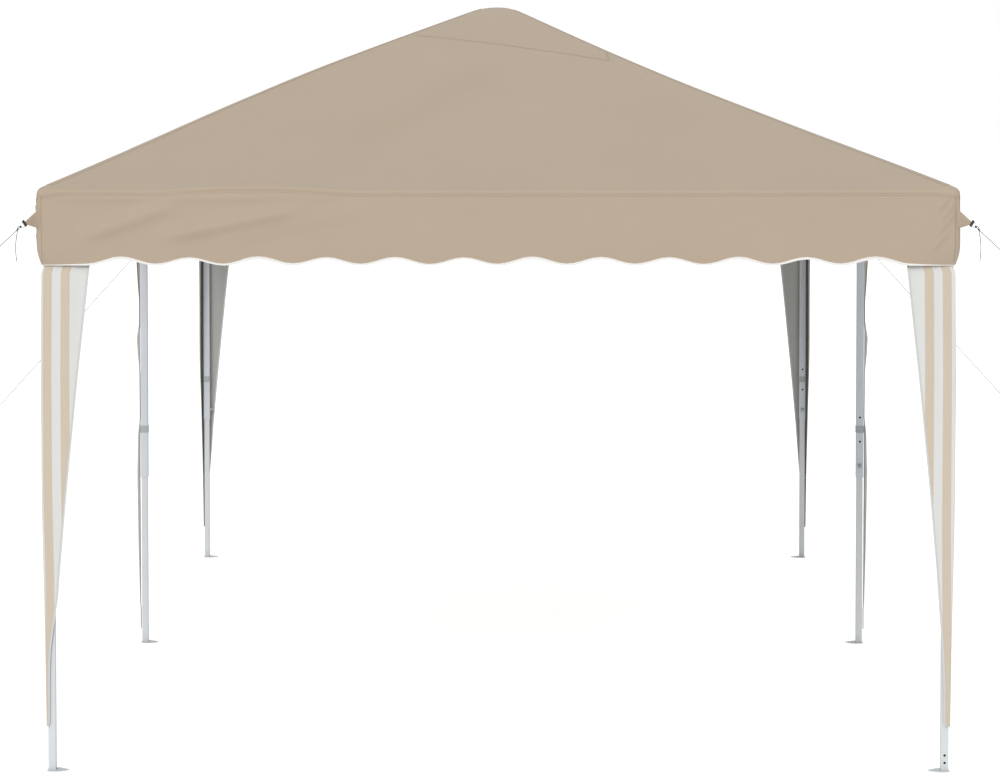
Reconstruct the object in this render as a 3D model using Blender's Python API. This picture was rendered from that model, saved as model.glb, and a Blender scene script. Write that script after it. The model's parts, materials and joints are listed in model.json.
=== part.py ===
"""Pop-up party tent, three metres wide and six metres long.

A hip-roofed canopy with a scalloped valance stands on six telescopic legs, spread by
scissor trusses, with two poles that push the roof up to its peaks. A curtain is tied
along each leg, and a guy rope runs from each corner to a ground peg.

The origin is on the ground at the tent's centre, +Z is up and the short end at -Y is
the front. Lengths are in metres. Run it with: blender --background --python part.py
"""

import math

import bmesh
import bpy
from mathutils import Matrix, Vector

# Canopy
CANOPY_HALF_WIDTH = 1.500
CANOPY_HALF_LENGTH = 3.000
EAVE_HEIGHT = 1.897
PEAK_HEIGHT = 2.550
PEAK_OVERSHOOT = 0.012
PEAK_CAP_REACH = 0.038
RIDGE_SAG = 0.020
LEFT_SLOPE_BULGE = 0.042
RIGHT_SLOPE_SAG = 0.009
EAVE_ROUNDING = 0.008
CORNER_RADIUS = 0.025
CLOTH_THICKNESS = 0.003
ROOF_INSETS = (0.30, 0.70, 1.10, 1.35)
MERGE_DISTANCE = 0.0001

# Valance
VALANCE_LOW = 1.657
SCALLOP_RISE = 0.020
SCALLOP_WIDTH = 0.2225
SCALLOPS_IN_A_BAY = 12
SCALLOP_STEPS = 4
SCALLOPS_TO_A_ROOF_COLUMN = 2
VALANCE_RINGS = 2
VALANCE_LEAN = 0.010

# Corner ear that the guy rope pulls on
EAR_TOP = 1.845
EAR_BOTTOM = 1.777
EAR_TIP_HEIGHT = 1.796
EAR_TIP_HALF_HEIGHT = 0.006
EAR_REACH = 0.050
EAR_THICKNESS = 0.003

# Legs
LEG_X = 1.460
LEG_Y = 2.960
OUTER_TUBE = 0.030
INNER_TUBE = 0.025
TUBE_WALL = 0.0012
OUTER_TUBE_BOTTOM = 0.680
OUTER_TUBE_TOP = 1.880
INNER_TUBE_TOP = 0.935
COLLAR_HEIGHT = 0.876
COLLAR_LENGTH = 0.028
COLLAR_WIDTH = 0.033
HOLE_RADIUS = 0.0035
HOLE_HEIGHTS = (0.826, 0.925)
LOCK_PIN_HEIGHT = 0.727
LOCK_BOSS_RADIUS = 0.009
LOCK_BOSS_REACH = 0.008
LOCK_PIN_RADIUS = 0.004
LOCK_PIN_REACH = 0.015

# Foot plate: a pointed leaf that aims inward across the tent
FOOT_THICKNESS = 0.003
FOOT_TIP = 0.054
FOOT_HALF_WIDTH = 0.036
FOOT_HEEL = 0.016
FOOT_HEEL_SHARE = 0.22
FOOT_FULLNESS = 0.9
FOOT_EDGE_STEPS = 5
FOOT_PEG_HOLE_X = 0.036
FOOT_PEG_HOLE_RADIUS = 0.005

# Scissor trusses
UPPER_PIVOT = 1.858
LOWER_PIVOT = 1.708
PIVOT_OFFSET = 0.045
BAR_DEPTH = 0.024
BAR_WIDTH = 0.011
BAR_LAP = 0.0002
BAR_END_STEPS = 3

# Brackets on the legs
FIT_GAP = 0.0003
BRACKET_WALL = 0.005
BRACKET_HEIGHT = 0.046
LID_THICKNESS = 0.006
LUG_THICKNESS = 0.003
LUG_REACH = 0.056
LUG_HEIGHT = 0.028

# Peak poles and the arms that carry them
POLE_RADIUS = 0.0125
POLE_BOTTOM = 1.690
POLE_CAP_RADIUS = 0.032
POLE_CAP_TOP = 2.538
POLE_CAP_THICKNESS = 0.016
POLE_CAP_CROWN_RADIUS = 0.022
HUB_RADIUS = 0.030
HUB_HEIGHT = 0.030
ARM_START = 0.038
ARM_BLOCK_LENGTH = 0.022
ARM_BLOCK_WIDTH = 0.026
ARM_TRUSS_GAP = 0.0016

# Curtains: height, distance of the outer face from the leg's axis, width of a wing
CURTAIN_THICKNESS = 0.002
CURTAIN_STATIONS = (
    (1.674, 0.0185, 0.150),
    (1.652, 0.0185, 0.151),
    (1.630, 0.0290, 0.155),
    (0.900, 0.0280, 0.080),
    (0.660, 0.0240, 0.054),
    (0.400, 0.0200, 0.030),
    (0.284, 0.0190, 0.024),
    (0.148, 0.0175, 0.019),
)
# Middle curtains, each one strip that runs rearwards beside its leg: height, distance of the outer face
# from the leg's axis at the near edge, the same at the free edge, place of the free edge behind the axis
MIDDLE_CURTAIN_START = -0.010
MIDDLE_CURTAIN_STATIONS = (
    (1.674, 0.0185, 0.0185, 0.150),
    (1.652, 0.0185, 0.0185, 0.151),
    (1.630, 0.0290, 0.0270, 0.155),
    (1.560, 0.0290, 0.0260, 0.147),
    (1.470, 0.0240, 0.0240, 0.137),
    (1.400, 0.0222, 0.0250, 0.130),
    (1.310, 0.0215, 0.0290, 0.122),
    (1.240, 0.0210, 0.0400, 0.115),
    (1.170, 0.0210, 0.0350, 0.108),
    (1.100, 0.0205, 0.0270, 0.101),
    (0.920, 0.0200, 0.0240, 0.082),
    (0.850, 0.0200, 0.0320, 0.074),
    (0.700, 0.0205, 0.0340, 0.058),
    (0.560, 0.0205, 0.0310, 0.044),
    (0.400, 0.0200, 0.0275, 0.030),
    (0.284, 0.0190, 0.0240, 0.024),
    (0.160, 0.0180, 0.0205, 0.019),
    (0.140, 0.0175, 0.0175, 0.018),
    (0.057, 0.0175, 0.0175, 0.016),
)

# Guy ropes and pegs
ROPE_RADIUS = 0.0015
ROPE_FALL = 1.02
ROPE_END_HEIGHT = 0.045
PEG_RADIUS = 0.0035
PEG_HEIGHT = 0.070
PEG_LEAN = math.radians(14)
PEG_HOOK = 0.014
PEG_HOOK_STEPS = 6

# Making the solids: how far shapes run into each other before they are fused, how far a
# cutter runs past what it cuts, and the sides of a round
JOIN = 0.002
CUT_MARGIN = 0.010
ROUND_SIDES = 12
SMALL_ROUND_SIDES = 8
CORNER_BENDS = (-45, 0, 45)


# Scene and materials


def clear_scene():
    """Take away every object that the scene starts with."""
    for thing in list(bpy.data.objects):
        bpy.data.objects.remove(thing, do_unlink=True)


def linear(level):
    """An sRGB channel from 0 to 255 as a linear value."""
    level /= 255
    return level / 12.92 if level <= 0.04045 else ((level + 0.055) / 1.055) ** 2.4


def finish(name, srgb, roughness, metallic=0.0):
    """A Principled material of one colour."""
    material = bpy.data.materials.new(name)
    material.use_nodes = True
    shader = material.node_tree.nodes["Principled BSDF"]
    shader.inputs["Base Color"].default_value = (*map(linear, srgb), 1.0)
    shader.inputs["Roughness"].default_value = roughness
    shader.inputs["Metallic"].default_value = metallic
    return material


# Making solids


def add_object(name, mesh, material, location=(0, 0, 0), turn=0.0):
    """Put a mesh in the scene as one named piece, turned about +Z by the given angle."""
    if not mesh.materials:
        mesh.materials.append(material)
    piece = bpy.data.objects.new(name, mesh)
    bpy.context.scene.collection.objects.link(piece)
    piece.location = location
    piece.rotation_euler = (0, 0, turn)
    return piece


def mesh_from(shape, name="shape"):
    """Turn a bmesh into a mesh with its faces pointing out."""
    bmesh.ops.recalc_face_normals(shape, faces=shape.faces)
    mesh = bpy.data.meshes.new(name)
    shape.to_mesh(mesh)
    shape.free()
    return mesh


def box(low, high):
    """A box between two corners."""
    shape = bmesh.new()
    low, high = Vector(low), Vector(high)
    bmesh.ops.create_cube(shape, size=1.0)
    bmesh.ops.scale(shape, vec=high - low, verts=shape.verts)
    bmesh.ops.translate(shape, vec=(low + high) / 2, verts=shape.verts)
    return mesh_from(shape)


def rod(start, end, radius, sides=ROUND_SIDES, end_radius=None):
    """A cylinder, or a cone, between two points."""
    shape = bmesh.new()
    start, end = Vector(start), Vector(end)
    along = end - start
    tilt = along.to_track_quat("Z", "Y").to_matrix().to_4x4()
    bmesh.ops.create_cone(
        shape,
        cap_ends=True,
        segments=sides,
        radius1=radius,
        radius2=radius if end_radius is None else end_radius,
        depth=along.length,
        matrix=Matrix.Translation((start + end) / 2) @ tilt,
    )
    return mesh_from(shape)


def plate(outline, low, high):
    """A flat plate: an outline in X and Y, extruded from one height to another."""
    shape = bmesh.new()
    face = shape.faces.new([shape.verts.new((x, y, low)) for x, y in outline])
    grown = bmesh.ops.extrude_face_region(shape, geom=[face])
    top = [item for item in grown["geom"] if isinstance(item, bmesh.types.BMVert)]
    bmesh.ops.translate(shape, vec=(0, 0, high - low), verts=top)
    return mesh_from(shape)


def moved(mesh, matrix):
    """The same mesh, put elsewhere."""
    mesh.transform(matrix)
    return mesh


def baked(thing):
    """An object's mesh with its modifiers applied. The object itself is taken away."""
    graph = bpy.context.evaluated_depsgraph_get()
    mesh = bpy.data.meshes.new_from_object(thing.evaluated_get(graph))
    bpy.data.objects.remove(thing, do_unlink=True)
    return mesh


def fused(name, shapes, cutters=()):
    """One closed solid: the union of the shapes, less the cutters."""
    made = {}
    for role, meshes in (("shape", shapes), ("cutter", cutters)):
        made[role] = bpy.data.collections.new(f"{name} {role}")
        bpy.context.scene.collection.children.link(made[role])
        for mesh in meshes:
            made[role].objects.link(bpy.data.objects.new(f"{name} {role}", mesh))
    first = made["shape"].objects[0]
    made["shape"].objects.unlink(first)
    bpy.context.scene.collection.objects.link(first)
    for role, operation in (("shape", "UNION"), ("cutter", "DIFFERENCE")):
        if made[role].objects:
            boolean = first.modifiers.new(operation.lower(), "BOOLEAN")
            boolean.solver = "EXACT"
            boolean.operation = operation
            boolean.operand_type = "COLLECTION"
            boolean.collection = made[role]
    mesh = baked(first)
    mesh.name = name
    for collection in made.values():
        for thing in list(collection.objects):
            bpy.data.objects.remove(thing, do_unlink=True)
        bpy.data.collections.remove(collection)
    return mesh


def smoothed(mesh, angle=math.radians(35)):
    """Shade a round piece smooth, with its edges kept sharp."""
    mesh.shade_smooth()
    mesh.set_sharp_from_angle(angle=angle)
    return mesh


# Where the legs stand

SIDES = {"left": -1, "right": 1}
ROWS = {"front": -1, "middle": 0, "rear": 1}
ENDS = {"front": -1, "rear": 1}

# The tube's holes face inward on a corner leg and turn with it around the tent.
TUBE_TURNS = {
    ("front", "left"): 0.0,
    ("middle", "left"): 0.0,
    ("rear", "left"): -math.pi / 2,
    ("rear", "right"): math.pi,
    ("middle", "right"): math.pi,
    ("front", "right"): math.pi / 2,
}


def leg_places():
    """Each leg's row and side, with its place on the ground."""
    for row, y_sign in ROWS.items():
        for side, x_sign in SIDES.items():
            yield row, side, Vector((x_sign * LEG_X, y_sign * LEG_Y, 0))


def inward_directions(row, side):
    """The truss directions that meet at a leg, as unit vectors."""
    found = [Vector((-SIDES[side], 0, 0))]
    if row != "front":
        found.append(Vector((0, -1, 0)))
    if row != "rear":
        found.append(Vector((0, 1, 0)))
    return found


# Canopy


def side_marks(bays):
    """Points along one side of the canopy: distance from its middle, the hem's rise, and whether
    the column goes on up the roof."""
    marks = []
    half = CANOPY_HALF_WIDTH * bays
    scalloped = SCALLOP_WIDTH * SCALLOPS_IN_A_BAY
    for bay in range(bays):
        start = -half + 2 * CANOPY_HALF_WIDTH * bay + CANOPY_HALF_WIDTH - scalloped / 2
        for step in range(SCALLOPS_IN_A_BAY * SCALLOP_STEPS + 1):
            turn = step / SCALLOP_STEPS
            rise = SCALLOP_RISE * (1 - math.cos(2 * math.pi * turn)) / 2
            runs_on = step % (SCALLOP_STEPS * SCALLOPS_TO_A_ROOF_COLUMN) == 0
            marks.append((start + SCALLOP_WIDTH * turn, rise, runs_on))
    return marks


def perimeter():
    """Columns around the canopy: its share of the half width and half length, its corner rounding,
    the hem's rise, and whether it goes on up the roof."""
    short, long = side_marks(1), side_marks(2)
    columns = []
    for quarter in range(4):
        marks, half = (short, CANOPY_HALF_WIDTH) if quarter % 2 == 0 else (long, CANOPY_HALF_LENGTH)
        across = Matrix.Rotation(quarter * math.pi / 2, 2)
        for mark, rise, runs_on in marks:
            columns.append((across @ Vector((mark / half, -1)), Vector((0, 0)), rise, runs_on))
        corner = across @ Vector((1, -1))
        diagonal = math.atan2(corner.y, corner.x)
        for bend in CORNER_BENDS:
            facing = Matrix.Rotation(diagonal + math.radians(bend), 2) @ Vector((1, 0))
            columns.append((corner, facing - corner, 0.0, True))
    return columns


def slope_swell(x_fraction, climb):
    """How far the roof cloth stands off a straight slope: it swells on the left and sags on the right."""
    left_share = (1 - x_fraction) / 2
    swell = LEFT_SLOPE_BULGE * left_share - RIGHT_SLOPE_SAG * (1 - left_share)
    return swell * math.sin(math.pi * climb)


def roof_height(x_fraction, inset, y):
    """Height of the roof's outer face at an inset from the eave."""
    climb = inset / CANOPY_HALF_WIDTH
    along = min(1.0, abs(y) / (CANOPY_HALF_LENGTH - CANOPY_HALF_WIDTH))
    top = PEAK_HEIGHT - RIDGE_SAG * (1 - along**2)
    straight = (top + PEAK_OVERSHOOT - EAVE_HEIGHT) * climb
    return min(EAVE_HEIGHT + straight + slope_swell(x_fraction, climb), top)


def canopy_rings():
    """Rings of points from the valance's hem up to the ridge, one point to a column."""
    columns = perimeter()
    levels = [("hem", VALANCE_LEAN), ("wall", 0.0), ("roof", EAVE_ROUNDING)]
    levels += [("roof", inset) for inset in ROOF_INSETS]
    levels += [("roof", CANOPY_HALF_WIDTH - PEAK_CAP_REACH), ("roof", CANOPY_HALF_WIDTH)]
    rings = []
    for kind, inset in levels:
        half = Vector((CANOPY_HALF_WIDTH - inset, CANOPY_HALF_LENGTH - inset))
        radius = min(CORNER_RADIUS, half.x) if inset < ROOF_INSETS[0] else 0.0
        ring = []
        for fraction, rounding, rise, _ in columns:
            x, y = fraction * half + rounding * radius
            if kind == "hem":
                z = VALANCE_LOW + rise
            elif kind == "wall":
                z = EAVE_HEIGHT - EAVE_ROUNDING
            else:
                z = roof_height(fraction.x, inset, y)
            ring.append(Vector((x, y, z)))
        rings.append(ring)
    return rings, [column[3] for column in columns]


def canopy_shell():
    """The cloth's outer face: fine columns below the eave, and one column to a scallop above it."""
    rings, runs_on = canopy_rings()
    shape = bmesh.new()
    kept = [index for index, flag in enumerate(runs_on) if flag]
    points = []
    for level, ring in enumerate(rings):
        used = [level < VALANCE_RINGS or flag for flag in runs_on]
        points.append([shape.verts.new(place) if use else None for place, use in zip(ring, used)])
    count = len(runs_on)
    for index in range(count):
        after = (index + 1) % count
        shape.faces.new([points[0][index], points[0][after], points[1][after], points[1][index]])
    for place, start in enumerate(kept):
        end = kept[(place + 1) % len(kept)]
        steps = range((end - start) % count + 1)
        for level in range(VALANCE_RINGS - 1, len(rings) - 1):
            lower = [points[level][(start + step) % count] for step in steps]
            lower = [point for point in lower if point]
            shape.faces.new([*lower, points[level + 1][end], points[level + 1][start]])
    bmesh.ops.remove_doubles(shape, verts=shape.verts, dist=MERGE_DISTANCE)
    return mesh_from(shape, "canopy shell")


def thickened(mesh):
    """The cloth's outer face given its thickness, inward."""
    sheet = bpy.data.objects.new("sheet", mesh)
    bpy.context.scene.collection.objects.link(sheet)
    solidify = sheet.modifiers.new("cloth thickness", "SOLIDIFY")
    solidify.thickness = CLOTH_THICKNESS
    solidify.offset = -1.0
    solidify.use_even_offset = True
    return baked(sheet)


def valance_lean(height):
    """How far the valance has come inward at a height."""
    top = EAVE_HEIGHT - EAVE_ROUNDING
    return VALANCE_LEAN * (top - height) / (top - VALANCE_LOW)


def corner_ear(x_sign, y_sign):
    """The triangle of cloth sewn to a corner, standing out along the diagonal."""
    half = EAR_THICKNESS / 2
    profile = (
        (-valance_lean(EAR_BOTTOM) * math.sqrt(2) - CLOTH_THICKNESS / 2, EAR_BOTTOM),
        (EAR_REACH, EAR_TIP_HEIGHT - EAR_TIP_HALF_HEIGHT),
        (EAR_REACH, EAR_TIP_HEIGHT + EAR_TIP_HALF_HEIGHT),
        (-valance_lean(EAR_TOP) * math.sqrt(2) - CLOTH_THICKNESS / 2, EAR_TOP),
    )
    shape = bmesh.new()
    face = shape.faces.new([shape.verts.new((reach, -half, z)) for reach, z in profile])
    grown = bmesh.ops.extrude_face_region(shape, geom=[face])
    far = [item for item in grown["geom"] if isinstance(item, bmesh.types.BMVert)]
    bmesh.ops.translate(shape, vec=(0, 2 * half, 0), verts=far)
    turn = Matrix.Rotation(math.atan2(y_sign, x_sign), 4, "Z")
    return moved(mesh_from(shape), Matrix.Translation(corner_edge(x_sign, y_sign)) @ turn)


def corner_edge(x_sign, y_sign):
    """The outermost point of a rounded corner, on the ground."""
    cut = CORNER_RADIUS * (1 - math.sqrt(0.5))
    return Vector((x_sign * (CANOPY_HALF_WIDTH - cut), y_sign * (CANOPY_HALF_LENGTH - cut), 0))


def build_canopy(cloth):
    """The roof and valance in one sewn piece, with an ear at each corner."""
    shell = thickened(canopy_shell())
    ears = [corner_ear(x_sign, y_sign) for x_sign in SIDES.values() for y_sign in ENDS.values()]
    add_object("canopy", smoothed(fused("canopy", [shell, *ears])), cloth)


# Legs


def square_prism(width, low, high):
    """A square bar standing on the leg's axis."""
    return box((-width / 2, -width / 2, low), (width / 2, width / 2, high))


def upper_tube():
    """The outer tube, with its collar, height holes and lock pin on the +Y face."""
    face = OUTER_TUBE / 2
    collar_bottom = COLLAR_HEIGHT - COLLAR_LENGTH / 2
    shapes = [
        square_prism(OUTER_TUBE, OUTER_TUBE_BOTTOM, OUTER_TUBE_TOP),
        square_prism(COLLAR_WIDTH, collar_bottom, collar_bottom + COLLAR_LENGTH),
    ]
    for reach, radius in ((LOCK_BOSS_REACH, LOCK_BOSS_RADIUS), (LOCK_PIN_REACH, LOCK_PIN_RADIUS)):
        end = (0, face + reach, LOCK_PIN_HEIGHT)
        shapes.append(rod((0, 0, LOCK_PIN_HEIGHT), end, radius, SMALL_ROUND_SIDES))
    bore = OUTER_TUBE - 2 * TUBE_WALL
    cutters = [square_prism(bore, OUTER_TUBE_BOTTOM - CUT_MARGIN, OUTER_TUBE_TOP + CUT_MARGIN)]
    for height in HOLE_HEIGHTS:
        cutters.append(rod((0, face / 2, height), (0, 2 * face, height), HOLE_RADIUS, SMALL_ROUND_SIDES))
    return smoothed(fused("upper leg tube", shapes, cutters))


def foot_outline():
    """A leaf with its point inward, its widest part just inside the leg and a blunt heel outside."""
    edge = []
    for step in range(FOOT_EDGE_STEPS):
        share = step / FOOT_EDGE_STEPS
        swing = math.sin(math.pi * (FOOT_HEEL_SHARE + (1 - FOOT_HEEL_SHARE) * share))
        edge.append((-FOOT_HEEL + (FOOT_TIP + FOOT_HEEL) * share, FOOT_HALF_WIDTH * swing**FOOT_FULLNESS))
    return [(x, -y) for x, y in edge] + [(FOOT_TIP, 0.0)] + edge[::-1]


def lower_tube():
    """The inner tube, open at the top, on its foot plate."""
    shapes = [
        square_prism(INNER_TUBE, FOOT_THICKNESS / 2, INNER_TUBE_TOP),
        plate(foot_outline(), 0, FOOT_THICKNESS),
    ]
    bore = INNER_TUBE - 2 * TUBE_WALL
    peg_hole_bottom = (FOOT_PEG_HOLE_X, 0, -FOOT_THICKNESS)
    peg_hole_top = (FOOT_PEG_HOLE_X, 0, 2 * FOOT_THICKNESS)
    cutters = [
        square_prism(bore, FOOT_THICKNESS, INNER_TUBE_TOP + CUT_MARGIN),
        rod(peg_hole_bottom, peg_hole_top, FOOT_PEG_HOLE_RADIUS),
    ]
    return fused("lower leg tube", shapes, cutters)


def build_legs(steel, light_steel):
    """Six telescopic legs, each foot plate pointing inward."""
    upper, lower = upper_tube(), lower_tube()
    for row, side, place in leg_places():
        foot_turn = 0.0 if side == "left" else math.pi
        add_object(f"upper_leg_{row}_{side}", upper, steel, place, TUBE_TURNS[row, side])
        add_object(f"lower_leg_{row}_{side}", lower, light_steel, place, foot_turn)


# Brackets


def lug_pair(direction, pivot, root):
    """Two lugs that clasp the end of a truss."""
    across = direction.cross(Vector((0, 0, 1)))
    inner = BAR_WIDTH + FIT_GAP
    shapes = []
    for sign in (-1, 1):
        near = sign * inner * across
        far = sign * (inner + LUG_THICKNESS) * across
        start, end = direction * root, direction * LUG_REACH
        corners = [point + side for point in (start, end) for side in (near, far)]
        low = Vector((min(c.x for c in corners), min(c.y for c in corners), pivot - LUG_HEIGHT / 2))
        high = Vector((max(c.x for c in corners), max(c.y for c in corners), pivot + LUG_HEIGHT / 2))
        shapes.append(box(low, high))
    return shapes


def leg_bracket(name, pivot, directions, lidded):
    """A square sleeve round the outer tube with lugs for each truss, and a lid on a top one."""
    sleeve = OUTER_TUBE + 2 * (FIT_GAP + BRACKET_WALL)
    low, high = pivot - BRACKET_HEIGHT / 2, pivot + BRACKET_HEIGHT / 2
    bore_top = high + CUT_MARGIN
    if lidded:
        bore_top = OUTER_TUBE_TOP + FIT_GAP
        high = bore_top + LID_THICKNESS
    shapes = [square_prism(sleeve, low, high)]
    for direction in directions:
        shapes += lug_pair(direction, pivot, sleeve / 2 - JOIN)
    bore = square_prism(OUTER_TUBE + 2 * FIT_GAP, low - CUT_MARGIN, bore_top)
    return fused(name, shapes, [bore])


def build_brackets(plastic):
    """A fixed bracket at the top of each leg and a slider below it."""
    for row, side, place in leg_places():
        directions = inward_directions(row, side)
        top = leg_bracket("top bracket", UPPER_PIVOT, directions, True)
        add_object(f"top_bracket_{row}_{side}", top, plastic, place)
        slider = leg_bracket("slider bracket", LOWER_PIVOT, directions, False)
        add_object(f"slider_bracket_{row}_{side}", slider, plastic, place)


# Trusses


def bar(start, end, layer):
    """A flat bar with round ends between two pivots in the X-Z plane, in one of two layers across Y."""
    start, end = Vector(start), Vector(end)
    along = end - start
    radius = BAR_DEPTH / 2
    outline = []
    for centre, first in ((along.length, -90), (0.0, 90)):
        for step in range(BAR_END_STEPS + 1):
            angle = math.radians(first + 180 * step / BAR_END_STEPS)
            outline.append((centre + radius * math.cos(angle), radius * math.sin(angle)))
    shape = plate(outline, -BAR_WIDTH / 2, BAR_WIDTH / 2)
    # The plate lies in X and Y: stand it up, tilt it along its run and shift it into its layer.
    stand = Matrix.Rotation(math.pi / 2, 4, "X")
    tilt = Matrix.Rotation(-math.atan2(along.z, along.x), 4, "Y")
    shift = Vector((0, layer * (BAR_WIDTH - BAR_LAP) / 2, 0))
    return moved(shape, Matrix.Translation(start + shift) @ tilt @ stand)


def scissor_truss(span):
    """Two scissor pairs side by side, filling the span between two legs."""
    half = span / 2 - PIVOT_OFFSET
    bars = [
        bar((-half, 0, UPPER_PIVOT), (0, 0, LOWER_PIVOT), -1),
        bar((-half, 0, LOWER_PIVOT), (0, 0, UPPER_PIVOT), 1),
        bar((0, 0, LOWER_PIVOT), (half, 0, UPPER_PIVOT), 1),
        bar((0, 0, UPPER_PIVOT), (half, 0, LOWER_PIVOT), -1),
    ]
    return fused("scissor truss", bars)


def build_trusses(steel):
    """Three trusses across the tent and two along each long side."""
    across = scissor_truss(2 * LEG_X)
    for row, y_sign in ROWS.items():
        add_object(f"truss_{row}", across, steel, (0, y_sign * LEG_Y, 0))
    along = scissor_truss(LEG_Y)
    for side, x_sign in SIDES.items():
        for end, y_sign in ENDS.items():
            place = (x_sign * LEG_X, y_sign * LEG_Y / 2, 0)
            add_object(f"truss_{side}_{end}", along, steel, place, math.pi / 2)


# Peak poles


def peak_arm(reach):
    """One scissor pair from the pole's hubs out to a truss, along +X, with a block at each outer end."""
    outer = reach - BAR_WIDTH - ARM_TRUSS_GAP
    end = outer - ARM_BLOCK_LENGTH / 2
    shapes = [
        bar((ARM_START, 0, UPPER_PIVOT), (end, 0, LOWER_PIVOT), -1),
        bar((ARM_START, 0, LOWER_PIVOT), (end, 0, UPPER_PIVOT), 1),
    ]
    for pivot in (LOWER_PIVOT, UPPER_PIVOT):
        low = (outer - ARM_BLOCK_LENGTH, -ARM_BLOCK_WIDTH / 2, pivot - HUB_HEIGHT / 2)
        high = (outer, ARM_BLOCK_WIDTH / 2, pivot + HUB_HEIGHT / 2)
        shapes.append(box(low, high))
    return shapes


def peak_arms(y_to_end, y_to_middle):
    """Four arms and the two hubs that the peak pole stands in."""
    shapes = []
    for turn, reach in ((0, LEG_X), (1, y_to_middle), (2, LEG_X), (3, y_to_end)):
        shapes += [moved(mesh, Matrix.Rotation(turn * math.pi / 2, 4, "Z")) for mesh in peak_arm(reach)]
    for pivot in (LOWER_PIVOT, UPPER_PIVOT):
        bottom, top = pivot - HUB_HEIGHT / 2, pivot + HUB_HEIGHT / 2
        shapes.append(rod((0, 0, bottom), (0, 0, top), HUB_RADIUS, ROUND_SIDES))
    bore_bottom = LOWER_PIVOT - HUB_HEIGHT / 2 - CUT_MARGIN
    bore_top = UPPER_PIVOT + HUB_HEIGHT / 2 + CUT_MARGIN
    bore = rod((0, 0, bore_bottom), (0, 0, bore_top), POLE_RADIUS + FIT_GAP)
    return fused("peak arms", shapes, [bore])


def peak_pole():
    """The pole with a domed cap that the roof rests on."""
    cap_bottom = POLE_CAP_TOP - POLE_CAP_THICKNESS
    shoulder = POLE_CAP_TOP - POLE_CAP_THICKNESS / 3
    crown_start = (0, 0, shoulder - JOIN)
    crown_end = (0, 0, POLE_CAP_TOP)
    shapes = [
        rod((0, 0, POLE_BOTTOM), (0, 0, cap_bottom + JOIN), POLE_RADIUS),
        rod((0, 0, cap_bottom), (0, 0, shoulder), POLE_CAP_RADIUS),
        rod(crown_start, crown_end, POLE_CAP_RADIUS - FIT_GAP, end_radius=POLE_CAP_CROWN_RADIUS),
    ]
    return smoothed(fused("peak pole", shapes))


def build_peaks(steel):
    """Two peak poles, each on four arms that meet the trusses around it."""
    reach = LEG_Y / 2
    arms, pole = peak_arms(reach, reach), peak_pole()
    for end, y_sign in ENDS.items():
        place = (0, y_sign * reach, 0)
        add_object(f"peak_arms_{end}", arms, steel, place)
        add_object(f"peak_pole_{end}", pole, steel, place)


# Curtains


def lofted(rings):
    """A closed solid through rings of equal count, capped at both ends."""
    shape = bmesh.new()
    points = [[shape.verts.new(place) for place in ring] for ring in rings]
    count = len(points[0])
    for lower, upper in zip(points, points[1:]):
        for index in range(count):
            after = (index + 1) % count
            shape.faces.new([lower[index], lower[after], upper[after], upper[index]])
    shape.faces.new(list(reversed(points[0])))
    shape.faces.new(points[-1])
    bmesh.ops.triangulate(shape, faces=shape.faces[:])
    return mesh_from(shape, "curtain")


def corner_section(offset, wing, x_sign, y_sign):
    """An L in plan that wraps the outer corner of a leg."""
    inner = offset - CURTAIN_THICKNESS
    end = wing - offset
    corners = ((offset, offset), (-end, offset), (-end, inner), (inner, inner), (inner, -end), (offset, -end))
    return [(x_sign * x, y_sign * y) for x, y in corners]


def strip_section(near, free, wing, x_sign):
    """A strip in plan that runs rearwards beside the outer face of a middle leg."""
    start = MIDDLE_CURTAIN_START
    corners = (
        (near, start),
        (free, wing),
        (free - CURTAIN_THICKNESS, wing),
        (near - CURTAIN_THICKNESS, start),
    )
    return [(x_sign * x, y) for x, y in corners]


def curtain_rings(row, side):
    """Sections of one leg's curtain from the top down."""
    if row == "middle":
        return [
            [(x, y, height) for x, y in strip_section(near, free, wing, SIDES[side])]
            for height, near, free, wing in MIDDLE_CURTAIN_STATIONS
        ]
    return [
        [(x, y, height) for x, y in corner_section(offset, wing, SIDES[side], ROWS[row])]
        for height, offset, wing in CURTAIN_STATIONS
    ]


def build_curtains(cloth):
    """A corner curtain on each corner leg and a strip on each middle leg."""
    for row, side, place in leg_places():
        add_object(f"curtain_{row}_{side}", lofted(curtain_rings(row, side)), cloth, place)


# Guy ropes and pegs


def tube_curve(name, points, radius, material, resolution=2):
    """A round tube along a line of points, with filled ends."""
    curve = bpy.data.curves.new(name, "CURVE")
    curve.dimensions = "3D"
    curve.bevel_depth = radius
    curve.bevel_resolution = resolution
    curve.use_fill_caps = True
    curve.materials.append(material)
    spline = curve.splines.new("POLY")
    spline.points.add(len(points) - 1)
    for slot, point in zip(spline.points, points):
        slot.co = (*point, 1.0)
    piece = bpy.data.objects.new(name, curve)
    bpy.context.scene.collection.objects.link(piece)
    return piece


def rope_line(x_sign, y_sign):
    """Start and end of a guy rope: from the ear's tip, down and out along the plan's diagonal."""
    outward = Vector((x_sign, y_sign, 0)).normalized()
    start = corner_edge(x_sign, y_sign) + outward * (EAR_REACH + ROPE_RADIUS)
    start.z = EAR_TIP_HEIGHT
    run = (EAR_TIP_HEIGHT - ROPE_END_HEIGHT) / ROPE_FALL * math.sqrt(2)
    end = start + outward * run
    end.z = ROPE_END_HEIGHT
    return start, end, outward


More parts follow.
